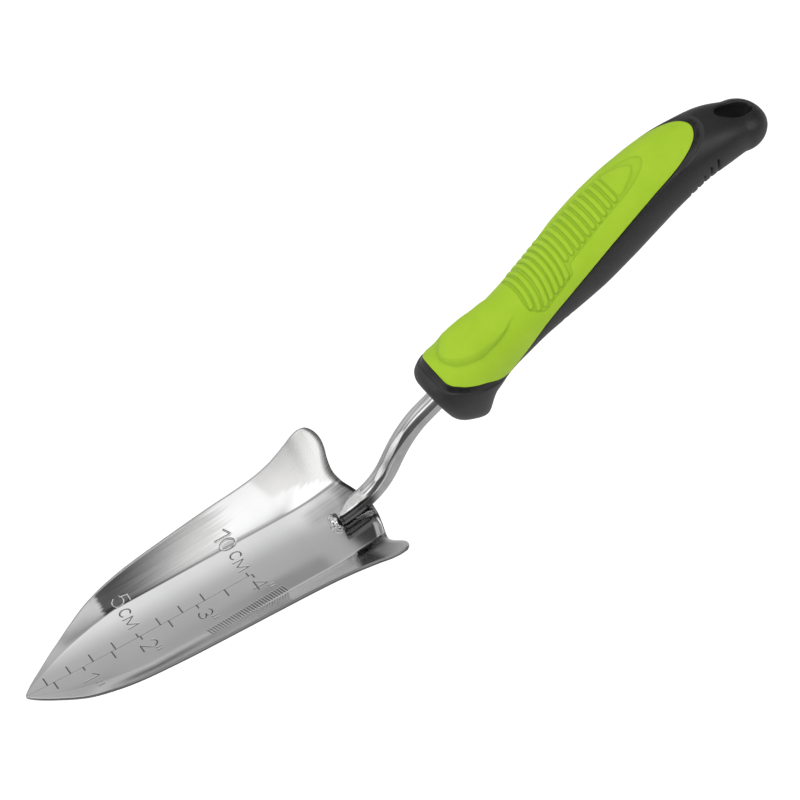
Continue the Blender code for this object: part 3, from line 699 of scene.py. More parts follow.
# ------------------------------------------------------------------ handle
# The skin is worked on as an unrolled plan: the run from the front edge to the tail,
# and the girth from the top, at a nominal radius.
GIRTH_DEG = 1.42 * pi / 180     # girth per degree
TURN = 360 * GIRTH_DEG
FRONT_ARC = FACE_EDGE * pi / 2
TAIL_START = TAIL_END - TAIL_ROUND
TAIL_RUN = TAIL_START - FACE - FACE_EDGE + FRONT_ARC
TAIL_ARC = 1.1                  # run per radian round the tail's end
GIRTH_LOW, GIRTH_HIGH = 90 * GIRTH_DEG, 450 * GIRTH_DEG     # both edges of the plan
AROUND = 100
ANGLES = np.linspace(90, 450, AROUND + 1)[:-1]


def station_of(run):
    run = np.asarray(run, float)
    front = FACE + FACE_EDGE - FACE_EDGE * np.cos(np.clip(run, 0, FRONT_ARC) / FACE_EDGE)
    middle = run - FRONT_ARC + FACE + FACE_EDGE
    tail = TAIL_START + TAIL_ROUND * np.sin(np.clip((run - TAIL_RUN) / TAIL_ARC, 0, pi / 2))
    return np.where(run < FRONT_ARC, front, np.where(run > TAIL_RUN, tail, middle))


def run_of(station):
    """For stations between the roundings of the front and the tail."""
    return np.asarray(station, float) + FRONT_ARC - FACE - FACE_EDGE


def skin(station, angle):
    """Points of the handle's skin."""
    station, angle = np.broadcast_arrays(np.asarray(station, float), np.asarray(angle, float))
    bend = TAIL_BEND * np.maximum(station - TAIL_BEND_START, 0)
    along = np.where(station > TAIL_BEND_START,
                     TAIL_BEND_START + np.sin(bend) / TAIL_BEND, station)
    drop = -(1 - np.cos(bend)) / TAIL_BEND
    up = np.sin(bend)[..., None] * AXIS + np.cos(bend)[..., None] * NORMAL
    where = START + along[..., None] * AXIS + drop[..., None] * NORMAL
    inner = np.clip(station, HANDLE[0][0], HANDLE[-1][0])
    centre, half = spline(HANDLE, inner, 1), spline(HANDLE, inner, 2)
    ratio = np.interp(station, [row[0] for row in ROUNDNESS], [row[1] for row in ROUNDNESS])
    end = np.clip((station - TAIL_START) / TAIL_ROUND, 0, 1)
    half = (half - 0.010 * smooth((station - 13.2) / 1.0)) * np.sqrt(np.maximum(1 - end * end, 0))
    wide = half * ratio
    front = np.clip((FACE + FACE_EDGE - station) / FACE_EDGE, 0, 1)
    tuck = FACE_EDGE * (1 - np.sqrt(np.maximum(1 - front * front, 0)))
    half, wide = half - tuck, wide - tuck
    guard = GUARD_DROP * np.exp(-(((station - GUARD_AT) / GUARD_LONG)**2))
    turn = np.radians(angle)
    power = 2 / SQUARENESS
    y = wide * np.sign(np.sin(turn)) * np.abs(np.sin(turn))**power
    high = np.sign(np.cos(turn)) * np.abs(np.cos(turn))**power
    high = high * np.where(high > 0, half, half + guard)
    return where + up * (centre + high)[..., None] + y[..., None] * np.array([0.0, 1.0, 0.0])


def on_handle(plan, lift=0.0):
    """Unrolled plan to space, lifted off the skin along its normal."""
    run, angle = plan[:, 0], plan[:, 1] / GIRTH_DEG
    step, step_angle = 0.012, 0.6
    before = np.clip(run - step, 0, None)
    after = np.clip(run + step, None, TAIL_RUN + TAIL_ARC * pi / 2 - 1e-4)
    along = skin(station_of(after), angle) - skin(station_of(before), angle)
    station = station_of(run)
    across = skin(station, angle + step_angle) - skin(station, angle - step_angle)
    lift = np.broadcast_to(np.asarray(lift, float), (len(plan),))[:, None]
    return skin(station, angle) + unit(np.cross(along, across)) * lift


def folded(plan):
    """Plan with the girth measured from the top, the same on both sides."""
    angle = np.mod(plan[:, 1] / GIRTH_DEG, 360.0)
    return np.c_[plan[:, 0], np.minimum(angle, 360 - angle) * GIRTH_DEG]


def half_line(table, rounds=6):
    line = np.array([(float(run_of(station)), angle * GIRTH_DEG) for station, angle in table])
    return rounded(resample(line, 0.04), rounds)


def grip_line():
    stations = np.linspace(GRIP[0][0], GRIP[-1][0], 400)
    line = np.c_[run_of(stations), spline(GRIP, stations) * GIRTH_DEG]
    line = np.vstack([[line[0, 0], 0.0], line, [line[-1, 0], 0.0]])
    line = rounded(resample(line, 0.045), 2)
    line[0, 1] = line[-1, 1] = 0.0
    return line


def line_normals(line):
    """Outward normals of a half line, square to the fold at both ends."""
    way = unit(np.gradient(line, axis=0))
    normals = np.c_[-way[:, 1], way[:, 0]]
    normals[0], normals[-1] = (-1, 0), (1, 0)
    return normals


GRIP_LINE = grip_line()
GRIP_NORMALS = line_normals(GRIP_LINE)
FOOT_LINE, CREST_LINE = half_line(PAD_FOOT), half_line(PAD_CREST)
PANEL_LINE, OGIVE_LINE = half_line(PANEL, rounds=4), half_line(OGIVE, rounds=3)


def signed(fold, line):
    """Distance to a half line that starts and ends at the top; negative inside."""
    away = line_distance(fold, line)
    loop = np.vstack([line, line[::-1] * [1, -1]])
    return np.where(inside(fold + [0, 1e-9], loop), -away, away)


LEDGE_MIN, LEDGE_EXTRA = 0.02, 0.22


def ledge(run):
    """Width of the bare ledge round the grip."""
    station = run - run_of(0.0)
    return (LEDGE_MIN + LEDGE_EXTRA * (1 - smooth((station - 1.7) / 1.5))
            + LEDGE_EXTRA * smooth((station - 12.6) / 1.5))


def core_lift(plan):
    """Relief of the handle's body, and the distance from the grip's edge."""
    fold = folded(plan)
    away = signed(fold, GRIP_LINE)
    width = ledge(fold[:, 0])
    station, angle = station_of(fold[:, 0]), fold[:, 1] / GIRTH_DEG
    deep = 0.040 * (width - LEDGE_MIN) / LEDGE_EXTRA + 0.004
    corner = 0.018
    lift = (-deep * (1 - smooth((away - width) / 0.055))
            + 0.010 * np.exp(-((away - width - 0.09) / 0.05)**2) * (width > 0.05))
    edge = np.clip((corner - away) / corner, 0, 1)
    lift = lift - corner * (1 - np.sqrt(1 - edge**2))
    lift = np.where(away < -0.001, -(GRIP_THICK + GAP), lift)
    for at, clear, depth in NOTCHES:
        profile = smooth(1 - np.abs(station - at) / 0.085)
        lift = lift - depth * 1.7 * profile * smooth((angle - clear + 6) / 6)
    return lift, away


def hole_frame():
    """Middle of the hole through the tail and the direction of its length."""
    bend = TAIL_BEND * (HOLE_AT - TAIL_BEND_START)
    x = TAIL_BEND_START + sin(bend) / TAIL_BEND
    drop = -(1 - cos(bend)) / TAIL_BEND
    where = START + AXIS * x + NORMAL * drop
    along = AXIS * cos(bend) - NORMAL * sin(bend)
    turn = radians(HOLE_SWING)
    return where, np.array([along[0] * cos(turn) + along[2] * sin(turn), 0.0,
                            -along[0] * sin(turn) + along[2] * cos(turn)])


def hole_loop(top, count=56):
    """The hole's edge on the unrolled plan, found by Newton steps."""
    where, along = hole_frame()
    turns = 2 * pi * np.arange(count) / count
    want = np.c_[(HOLE_LONG / 2 - 0.03) * np.cos(turns), (HOLE_WIDE / 2 - 0.03) * np.sin(turns)]
    run = np.minimum(run_of(HOLE_AT) + want[:, 0], TAIL_RUN + 0.9)
    angle = want[:, 1] / 1.15 / GIRTH_DEG * 1.2
    angle = 360 + angle if top else 180 - angle

    def place(run, angle):
        offset = skin(station_of(run), angle) - where
        return np.c_[offset @ along, offset[:, 1]]

    for _ in range(40):
        now = place(run, angle)
        by_run = (place(run + 1e-4, angle) - now) / 1e-4
        by_angle = (place(run, angle + 1e-2) - now) / 1e-2
        area = by_run[:, 0] * by_angle[:, 1] - by_run[:, 1] * by_angle[:, 0]
        miss = want - now
        run_step = (miss[:, 0] * by_angle[:, 1] - miss[:, 1] * by_angle[:, 0]) / area
        angle_step = (by_run[:, 0] * miss[:, 1] - by_run[:, 1] * miss[:, 0]) / area
        run = run + np.clip(run_step, -0.1, 0.1)
        angle = angle + np.clip(angle_step, -6, 6)
        run = np.clip(run, 0.5, TAIL_RUN + TAIL_ARC * 1.45)
    return np.c_[run, angle * GIRTH_DEG]


def unfold(points):
    """Both mirror images of folded points, in the plan that runs from 90 to 450 degrees."""
    angle = points[:, 1] / GIRTH_DEG
    out = []
    for side in (angle, -angle):
        turn = np.mod(side, 360)
        turn = np.where(turn < 90, turn + 360, turn)
        out.append(np.c_[points[:, 0], turn * GIRTH_DEG])
    return np.vstack(out)


def core_features(loops, run_end):
    """Groups of plan points: grip's edge and ledge, notches, hole rims, grids."""
    chain = [GRIP_LINE + GRIP_NORMALS * out for out in (-0.004, 0.0, 0.009, 0.018, 0.05)]
    width = ledge(GRIP_LINE[:, 0])[:, None]
    chain += [GRIP_LINE + GRIP_NORMALS * (width + out)
              for out in (-0.01, 0.014, 0.028, 0.042, 0.056, 0.09, 0.13)]
    chain.append(GRIP_LINE - GRIP_NORMALS * 0.06)
    chain = np.vstack([line[line[:, 1] >= 0] for line in chain])

    rows = []
    for at, clear, _ in NOTCHES:
        angles = np.arange(clear - 9, 180.1, 3.0)
        for offset in (-0.090, -0.064, -0.040, -0.018, 0, 0.018, 0.040, 0.064, 0.090):
            run = float(run_of(at + offset))
            rows.append(np.c_[np.full(len(angles), run), angles * GIRTH_DEG])

    rims = []
    for loop in loops:
        way = unit(np.roll(loop, -1, 0) - np.roll(loop, 1, 0))
        normals = np.c_[way[:, 1], -way[:, 0]]
        if np.mean(np.sum(normals * (loop - loop.mean(0)), 1)) < 0:
            normals = -normals
        rims += [loop + normals * out for out in (0.015, 0.035, 0.06, 0.09, 0.13)]

    def under_grip(points):
        return signed(folded(points), GRIP_LINE) < -0.1

    fine = lattice((0.06, run_end, 0.105), (GIRTH_LOW + 0.05, GIRTH_HIGH, 0.10), 0.052)
    rough = lattice((0.1, run_end, 0.25), (GIRTH_LOW + 0.05, GIRTH_HIGH, 0.24))
    return [(unfold(chain), 0.0035), (unfold(np.vstack(rows)), 0.012), (np.vstack(rims), 0.012),
            (fine[~under_grip(fine)], 0.07), (rough[under_grip(rough)], 0.16)]


def core_seam(run_end):
    """Runs of the points on the seam at the handle's side, shared by both plan edges."""
    probe = np.arange(0, run_end, 0.002)
    away = signed(np.c_[probe, np.full(len(probe), 90 * GIRTH_DEG)], GRIP_LINE)
    seam = list(np.arange(0, run_end, 0.10)) + [run_end]
    for crossing in probe[:-1][np.diff(np.sign(away)) != 0]:
        after = np.interp(crossing + 0.02, probe, away)
        slope = abs(after - np.interp(crossing - 0.02, probe, away)) / 0.04
        for out in (-0.06, -0.004, 0.0, 0.009, 0.018, 0.04, 0.075, 0.11):
            seam.append(crossing + np.sign(after) * out / max(slope, 0.3))
    for at, clear, _ in NOTCHES:
        if clear < 90:
            seam += [float(run_of(at + offset)) for offset in (-0.06, -0.03, 0, 0.03, 0.06)]
    seam = np.array(sorted(set(np.round(seam, 5))))
    keep = [0]
    for i in range(1, len(seam) - 1):
        if seam[i] - seam[keep[-1]] > 0.003 and seam[-1] - seam[i] > 0.02:
            keep.append(i)
    keep.append(len(seam) - 1)
    return seam[keep]


def bore_circle(radius, along):
    turns = np.radians(ANGLES)
    return (START + AXIS * along + np.outer(np.sin(turns), [0, 1.0, 0]) * radius
            + np.outer(np.cos(turns), NORMAL) * radius)


def front_rings():
    """Rings from the front face's edge inwards and down the bore of the tang."""
    outer = skin(np.full(AROUND, FACE), ANGLES)
    rings = [outer * (1 - share) + bore_circle(TANG_R + 0.10, FACE) * share
             for share in (0.25, 0.5, 0.75, 0.94)]
    rings += [bore_circle(TANG_R + out, along) for out, along in (
        (0.085, FACE), (0.055, FACE + 0.008), (GAP, FACE + 0.035), (GAP, FACE + 0.5),
        (GAP, FACE + 2.0), (GAP, TANG_DEPTH - TAB_LONG))]
    return rings + tab_rings(GAP, np.radians(ANGLES))


def make_core(material):
    run_end = TAIL_RUN + TAIL_ARC * (pi / 2 - 0.10)
    loops = [hole_loop(True), hole_loop(False)]
    seam = core_seam(run_end)
    turns = np.linspace(GIRTH_LOW, GIRTH_HIGH, AROUND + 1)
    bottom = np.c_[seam, np.full(len(seam), GIRTH_LOW)]
    right = np.c_[np.full(len(turns), run_end), turns]
    top = np.c_[seam[::-1], np.full(len(seam), GIRTH_HIGH)]
    left = np.c_[np.full(len(turns), 0.0), turns[::-1]]
    outline = np.vstack([bottom[:-1], right[:-1], top[:-1], left[:-1]])

    plan = thin_out(core_features(loops, run_end))
    run, girth = plan[:, 0], plan[:, 1]
    plan = plan[(run > 0.03) & (run < run_end - 0.02)
                & (girth > GIRTH_LOW + 0.02) & (girth < GIRTH_HIGH - 0.02)]
    for loop in loops:
        plan = plan[~inside(plan, loop)]
        plan = plan[line_distance(plan, loop, closed=True) > 0.008]
    flat, tris = fill(outline, plan, loops)

    lift, from_grip = core_lift(flat)
    for loop in loops:
        away = line_distance(flat, loop, closed=True)
        edge = np.clip((HOLE_ROUND - away) / HOLE_ROUND, 0, 1)
        lift = lift - HOLE_ROUND * (1 - np.sqrt(1 - edge**2))
    points = on_handle(flat, lift)
    near = np.clip(1 - np.abs(from_grip - 0.1) / 0.16, 0, 1) * (ledge(flat[:, 0]) > 0.06)
    shell = Shell()
    index = shell.add(points, mark=near)
    shell.tris(index, tris)

    # Tail end
    tail = index[len(seam) - 1:len(seam) - 1 + AROUND]
    pole = shell.add([skin(np.array([TAIL_END]), np.array([0.0]))[0]])
    runs = [TAIL_RUN + TAIL_ARC * (pi / 2 - short) for short in (0.055, 0.02)]
    ring = shell.loft([skin(station_of(np.full(AROUND, run)), ANGLES) for run in runs], tail)
    shell.fan(ring, pole[0])

    # Hole through the tail
    edge, count = len(outline), len(loops[0])
    upper, lower = slice(edge, edge + count), slice(edge + count, edge + 2 * count)
    last = shell.loft([points[upper] * (1 - share) + points[lower] * share
                       for share in np.linspace(0, 1, 14)[1:-1]], index[upper])
    shell.bridge(last, index[lower])

    # Front face and the bore that holds the tang
    front = index[[0] + list(range(edge - 1, edge - AROUND, -1))]
    shell.cap(shell.loft(front_rings(), front))
    return shell.build("handle_body", material, sharp=42, merge=True)


# --------------------------------------------------------------- soft grip
def rib_arc(at):
    """How fast a rib bends forward away from the crown, cm per square degree."""
    return 1.15e-4 - 0.45e-4 * smooth((at - 7.5) / 1.5)


def rib_place(at, end, angle):
    return at + rib_arc(at) * (end**2 - np.minimum(np.abs(angle), end)**2)


def rib_slant(at, end, angle):
    """Length of a rib per girth, for its slant at an angle."""
    return np.sqrt(1 + (2 * rib_arc(at) * np.minimum(angle, end) / GIRTH_DEG)**2)


def pad_relief(fold, station):
    """Height and shade of the raised pad."""
    def close(line):
        return np.vstack([line, [line[-1, 0], -0.5], [line[0, 0], -0.5]])

    to_foot, to_crest = line_distance(fold, FOOT_LINE), line_distance(fold, CREST_LINE)
    in_foot, in_crest = inside(fold, close(FOOT_LINE)), inside(fold, close(CREST_LINE))
    climb = np.where(in_crest, 1.0,
                     np.where(in_foot, to_foot / (to_foot + to_crest + 1e-9), 0.0))
    face = np.where(climb < 1, 0.95 * (0.3 * smooth(climb) + 0.7 * climb),
                    0.95 + 0.05 * smooth(to_crest / 0.20))
    lift = PAD_HIGH * face * smooth((5.05 - station) / 1.15)
    shade = (0.75 * np.where(in_foot, 1 - climb, np.exp(-to_foot / 0.05)) * (climb < 1)
             * smooth((4.9 - station) / 0.9))
    # A faint groove where the step meets the grip
    outside = np.where(in_foot, to_foot, -to_foot)
    lift -= 0.008 * np.exp(-((outside + 0.02) / 0.035)**2) * smooth((4.6 - station) / 1.0)
    return lift, shade


def panel_relief(fold, station):
    """Height and shade of the sunken panel with its ribs and pointed field."""
    angle = fold[:, 1] / GIRTH_DEG
    panel, ogive = signed(fold, PANEL_LINE), signed(fold, OGIVE_LINE)
    base = -PANEL_DEEP * smooth((-panel + 0.01) / 0.045)
    base += -0.008 * np.exp(-((panel + 0.035) / 0.025)**2)
    base += OGIVE_HIGH * smooth((-ogive + 0.01) / 0.04)
    best, line = np.zeros(len(fold)), np.zeros(len(fold))
    for at, end in RIBS:
        past = np.maximum(fold[:, 1] - (end * GIRTH_DEG - 0.09), 0)
        beside = fold[:, 0] - run_of(rib_place(at, end, angle))
        away = np.hypot(beside / rib_slant(at, end, angle), past)
        crown = np.clip(1 - (RIB_HALF - away) / 0.09, 0, 1)
        bar = (0.55 * smooth((RIB_HALF - away) / 0.05)
               + 0.45 * np.sqrt(np.clip(1 - crown**2, 0, 1)))
        best = np.maximum(best, bar)
        line = np.maximum(line, np.exp(-((away - RIB_HALF - 0.008) / 0.024)**2))
    line = np.maximum(line, 0.6 * np.exp(-((ogive - 0.012) / 0.024)**2))
    line = np.maximum(line * (panel < 0), 0.6 * np.exp(-((panel + 0.030) / 0.026)**2))
    floor = (smooth((-panel + 0.02) / 0.05) * (1 - best)
             * (1 - smooth((-ogive + 0.01) / 0.04)))
    return base + RIB_HIGH * best, 0.80 * line + 0.22 * floor


def grip_lift(plan):
    """Relief of the grip over the skin, and the shade of its hollows, 0..1."""
    fold = folded(plan)
    station = station_of(fold[:, 0])
    lift, shade = np.zeros(len(plan)), np.zeros(len(plan))
    for relief, low, high in ((pad_relief, 1.4, 5.2), (panel_relief, 5.1, 12.8)):
        at = np.where((station > low) & (station < high))[0]
        raised, dark = relief(fold[at], station[at])
        lift[at] += raised
        shade[at] += dark
    return lift, np.clip(shade, 0, 1)


def grip_loop(out):
    """The grip's whole edge on the plan, moved outwards."""
    half = GRIP_LINE + GRIP_NORMALS * out
    half[0, 1] = half[-1, 1] = 0.0
    return np.vstack([half, half[::-1][1:-1] * [1, -1]]) + [0, TURN]


def rib_points():
    rows = []
    for at, end in RIBS:
        reach = end * GIRTH_DEG
        across = np.r_[np.arange(0, reach - 0.16, 0.10),
                       np.arange(reach - 0.16, reach + 0.06, 0.024)]
        angle = across / GIRTH_DEG
        for offset in (-0.126, -0.108, -0.090, -0.072, -0.04, 0.0, 0.04, 0.072, 0.090,
                       0.108, 0.126, 0.160):
            station = rib_place(at, end, angle) + offset * rib_slant(at, end, angle)
            rows.append(np.c_[run_of(station), across])
    return np.vstack(rows)


def border_points():
    """Points along the borders of panel, pointed field and pad."""
    lines = []
    # The pointed field's plan points follow a slightly smoother line than its relief.
    for line, offsets in ((PANEL_LINE, (-0.06, -0.04, -0.02, 0.0, 0.02, 0.05)),
                          (half_line(OGIVE, rounds=4), (-0.045, -0.02, 0.0, 0.02)),
                          (FOOT_LINE, (-0.03, 0.0, 0.03, 0.06)),
                          (CREST_LINE, (-0.10, -0.05, 0.0, 0.03))):
        normals = line_normals(line)
        lines += [line + normals * out for out in offsets]
    share = np.linspace(0, 1, 200)
    foot, crest = (
        np.stack([np.interp(share, np.linspace(0, 1, len(line)), line[:, k]) for k in (0, 1)], 1)
        for line in (resample(FOOT_LINE, 0.04), resample(CREST_LINE, 0.04)))
    lines += [foot * (1 - k) + crest * k for k in (0.2, 0.4, 0.6, 0.8)]
    lines = np.vstack(lines)
    return lines[lines[:, 1] >= 0]


def make_grip(material):
    def both(points):
        return np.vstack([points, points * [1, -1]]) + [0, TURN]

    inner = grip_loop(-GAP - GRIP_EDGE)
    reach = 125 * GIRTH_DEG
    plan = thin_out([
        (np.vstack([grip_loop(-GAP - GRIP_EDGE - inset) for inset in (0.03, 0.08)]), 0.025),
        (both(rib_points()), 0.013),
        (both(border_points()), 0.018),
        (lattice((0.9, 14.6, 0.095), (-reach, reach, 0.09), 0.047) + [0, TURN], 0.06)])
    flat, tris = fill(inner, within(plan, inner, 0.012))
    lift, shade = grip_lift(flat)
    shell = Shell()
    index = shell.add(on_handle(flat, lift), mark=shade)
    shell.tris(index, tris)

    # Rounded edge, then the side wall
    rings = []
    for turn in (radians(degree) for degree in (22, 45, 68, 90)):
        ring = grip_loop(-GAP - GRIP_EDGE * (1 - sin(turn)))
        rings.append(on_handle(ring, grip_lift(ring)[0] - GRIP_EDGE * (1 - cos(turn))))
    ring = grip_loop(-GAP)
    rings += [on_handle(ring, -deep) for deep in (0.10, 0.18, GRIP_THICK)]
    last = shell.loft(rings, index[:len(inner)])

    # Underside
    low = thin_out([(lattice((0.9, 14.6, 0.26), (-reach, reach, 0.25)) + [0, TURN], 0.16)])
    flat, tris = fill(ring, within(low, ring, 0.08))
    index = shell.add(on_handle(flat, -GRIP_THICK))
    shell.tris(index, tris, flip=True)
    shell.bridge(last, index[:len(ring)])
    return shell.build("soft_grip_skin", material, sharp=48, merge=True)


# --------------------------------------------------------------- materials
class Net:
    """Builds a node tree; values are numbers, tuples or the outputs of other nodes."""

    def __init__(self, owner):
        owner.use_nodes = True
        self.tree = owner.node_tree
        self.tree.nodes.clear()

    def node(self, kind, inputs=None, **settings):
        node = self.tree.nodes.new(kind)
        for key, value in settings.items():
            setattr(node, key, value)
        for key, value in (inputs or {}).items():
            socket = node.inputs[key]
            if isinstance(value, bpy.types.NodeSocket):
                self.tree.links.new(value, socket)
                continue
            if isinstance(value, tuple) and len(socket.default_value) == 4:
                value = (*value, 1.0)
            socket.default_value = value
        return node

    def math(self, operation, *values):
        inputs = dict(enumerate(values))
        return self.node("ShaderNodeMath", inputs, operation=operation).outputs[0]

    def add(self, one, two):
        return self.math("ADD", one, two)

    def sub(self, one, two):
        return self.math("SUBTRACT", one, two)

    def most(self, one, two):
        return self.math("MAXIMUM", one, two)

    def mul(self, product, *values):
        for value in values:
            product = self.math("MULTIPLY", product, value)
        return product

    def swing(self, noise, by):
        """Noise centred on zero and scaled."""
        return self.mul(self.sub(noise, 0.5), by)

    def stretch(self, vector, by):
        inputs = {0: vector, 1: by}
        return self.node("ShaderNodeVectorMath", inputs, operation="MULTIPLY").outputs[0]

    def xyz(self, vector):
        return self.node("ShaderNodeSeparateXYZ", {0: vector}).outputs

    def join(self, x, y, z):
        return self.node("ShaderNodeCombineXYZ", {0: x, 1: y, 2: z}).outputs[0]

    def ramp(self, value, over, to=(0.0, 1.0), kind="SMOOTHSTEP"):
        inputs = {"Value": value, "From Min": over[0], "From Max": over[1],
                  "To Min": to[0], "To Max": to[1]}
        node = self.node("ShaderNodeMapRange", inputs, interpolation_type=kind, clamp=True)
        return node.outputs["Result"]

    def profile(self, angle, rows):
        """Smooth curve through (degrees, level) rows from -180 to 180, levels up to top."""
        top = 2.0
        share = self.ramp(angle, over=(-180, 180), kind="LINEAR")
        node = self.node("ShaderNodeValToRGB", {"Fac": share})
        node.color_ramp.interpolation = "EASE"
        stops = node.color_ramp.elements
        stops.remove(stops[-1])
        for i, (degree, level) in enumerate(rows):
            stop = stops.new((degree + 180) / 360) if i else stops[0]
            stop.color = (level / top,) * 3 + (1.0,)
        return self.mul(node.outputs["Color"], top)

    def tint(self, base, colour, where, strength=None):
        """Base turned to another colour where a mask is high."""
        if strength is not None:
            where = self.mul(where, strength)
        inputs = {0: where, 6: base, 7: colour}
        return self.node("ShaderNodeMix", inputs, data_type="RGBA").outputs[2]

    def blend(self, mask, off, on):
        return self.node("ShaderNodeMix", {0: mask, 2: off, 3: on}, data_type="FLOAT").outputs[0]

    def noise(self, vector, scale, detail=2.0, rough=0.5, distortion=0.0):
        inputs = {"Vector": vector, "Scale": scale, "Detail": detail, "Roughness": rough,
                  "Distortion": distortion}
        return self.node("ShaderNodeTexNoise", inputs).outputs["Fac"]

    def voronoi(self, vector, scale):
        inputs = {"Vector": vector, "Scale": scale}
        return self.node("ShaderNodeTexVoronoi", inputs).outputs["Distance"]

    def bump(self, height, strength, distance):
        inputs = {"Height": height, "Strength": strength, "Distance": distance}
        return self.node("ShaderNodeBump", inputs).outputs[0]

    def attribute(self, name):
        return self.node("ShaderNodeAttribute", attribute_name=name).outputs["Fac"]

    def centimetres(self):
        """Object coordinates in centimetres from the blade's tip."""
        place = self.node("ShaderNodeTexCoord").outputs["Object"]
        place = self.node("ShaderNodeVectorMath", {0: place, 1: tuple(SHIFT.tolist())},
                          operation="SUBTRACT").outputs[0]
        return self.node("ShaderNodeVectorMath", {0: place, "Scale": 100.0},
                         operation="SCALE").outputs[0]

    def surface(self, **values):
        inputs = {key.replace("_", " "): value for key, value in values.items()}
        shader = self.node("ShaderNodeBsdfPrincipled", inputs)
        self.node("ShaderNodeOutputMaterial", {0: shader.outputs[0]})


def new_material(name):
    material = bpy.data.materials.new(name)
    return material, Net(material)


def blade_material():
    material, net = new_material("blade_stainless")
    place = net.centimetres()
    x, y, z = net.xyz(place)
    wall = net.attribute("wall")
    cut = net.attribute("mark")

    # Brushing follows the flare of the walls: across is constant along a scratch.
    lean, curve = 0.05, 0.047
    flare = net.most(net.sub(x, 10.0), 0.0)
    across = net.sub(net.math("ABSOLUTE", y),
                     net.add(net.mul(x, lean), net.mul(flare, flare, curve)))

    def streaks(width, along, tight, depth, detail, rough):
        """Noise drawn out along the blade."""
        spot = net.join(net.mul(x, along), net.mul(width, tight), depth)
        return net.noise(spot, scale=1.0, detail=detail, rough=rough)

    fine = streaks(across, along=0.55, tight=42.0, depth=net.mul(z, 3.0), detail=4.0, rough=0.62)
    long = streaks(across, along=0.20, tight=11.0, depth=3.7, detail=3.0, rough=0.55)
    floor_line = streaks(y, along=0.35, tight=26.0, depth=1.3, detail=3.0, rough=0.6)
    cloud = net.noise(place, scale=0.45, detail=3.0, rough=0.5)

    # Satin parts of the walls, with a ragged edge: middle stretch, ears, -Y side
    ragged = net.add(wall, net.swing(long, by=0.35))
    torn = net.add(x, net.swing(long, by=2.4))
    sweep = net.mul(net.ramp(x, over=(2.6, 4.6)), net.ramp(torn, over=(9.4, 10.8), to=(1.0, 0.0)))
    widening = net.mul(net.most(net.sub(x, 13.1), 0.0), 0.20)
    ear = net.mul(net.ramp(net.add(x, net.mul(wall, 0.9)), over=(12.75, 13.15)),
                  net.ramp(net.add(ragged, widening), over=(0.38, 0.50)),
                  net.ramp(wall, over=(0.985, 0.955)))
    right = net.mul(net.mul(net.ramp(y, over=(0.2, -0.2)), net.ramp(ragged, over=(0.10, 0.42))),
                    net.mul(net.ramp(x, over=(8.0, 10.5)), net.ramp(x, over=(14.3, 13.5))))
    middle = net.mul(net.ramp(ragged, over=(0.02, 0.20)), sweep)
    satin = net.most(net.most(middle, ear), right)

    colour = net.tint((0.68, 0.68, 0.685), (0.70, 0.695, 0.69), where=satin)
    colour = net.tint(colour, (0.95, 0.95, 0.94), where=net.ramp(fine, over=(0.35, 0.7)),
                      strength=net.blend(satin, off=0.04, on=0.12))
    colour = net.tint(colour, (0.34, 0.335, 0.33), strength=0.12,
                      where=net.mul(net.ramp(fine, over=(0.62, 0.34)), satin))
    colour = net.tint(colour, (0.50, 0.50, 0.51), where=net.ramp(cloud, over=(0.35, 0.75)),
                      strength=0.10)
    # Painted darker reflection on the +Y wall along the middle stretch
    colour = net.tint(colour, (0.50, 0.498, 0.495),
                      where=net.mul(sweep, net.ramp(wall, over=(-0.05, 0.05)),
                                    net.ramp(y, over=(0.0, 0.3), to=(0.0, 0.75))))

    # Painted dark reflection on the +Y wall, streaked by the brushing, that runs out along it
    begin = net.ramp(net.add(x, net.swing(long, by=0.35)), over=(4.22, 4.50))
    fade = net.ramp(net.add(x, net.swing(long, by=1.4)), over=(5.0, 9.9), to=(1.0, 0.0))
    painted_dark_reflection = net.mul(net.mul(begin, fade),
                    net.mul(net.ramp(wall, over=(-0.07, -0.02)),
                            net.ramp(wall, over=(0.98, 0.92)), net.ramp(y, over=(0.0, 0.5))))
    colour = net.tint(colour, (0.055, 0.055, 0.057), where=painted_dark_reflection,
                      strength=net.ramp(fine, over=(0.25, 0.75), to=(0.98, 0.90)))
    # Calm, evenly dull stretch of the same wall before it
    calm = net.mul(net.mul(net.sub(1.0, begin), net.ramp(x, over=(5.5, 5.0))),
                   net.mul(net.ramp(wall, over=(-0.12, -0.02)), net.ramp(y, over=(0.0, 0.25))))
    colour = net.tint(colour, (0.60, 0.60, 0.605), where=calm, strength=0.8)
    brushed = net.add(net.ramp(fine, over=(0.3, 0.7), to=(0.15, 0.21)),
                      net.ramp(x, over=(12.5, 14.5), to=(0.0, 0.09)))
    polished = net.ramp(cloud, over=(0.3, 0.75), to=(0.10, 0.15))
    rough = net.blend(satin, off=polished, on=brushed)
    rough = net.blend(calm, off=rough, on=0.34)
    # Even stretch of the -Y wall
    even = net.mul(net.ramp(x, over=(10.0, 8.0)),
                   net.mul(net.ramp(wall, over=(-0.45, -0.05)), net.ramp(y, over=(0.0, -0.25))))
    colour = net.tint(colour, (0.86, 0.86, 0.865), where=even, strength=0.8)
    rough = net.blend(even, off=rough, on=0.36)
    # Dull ear on the -Y side
    dull = net.mul(net.ramp(x, over=(14.1, 14.6)), net.ramp(y, over=(-2.1, -2.6)))
    dull_colour = net.tint((0.86, 0.86, 0.86), (0.95, 0.95, 0.945),
                           where=net.ramp(fine, over=(0.3, 0.7)))
    colour = net.tint(colour, dull_colour, where=dull)
    rough = net.blend(dull, off=rough, on=0.45)
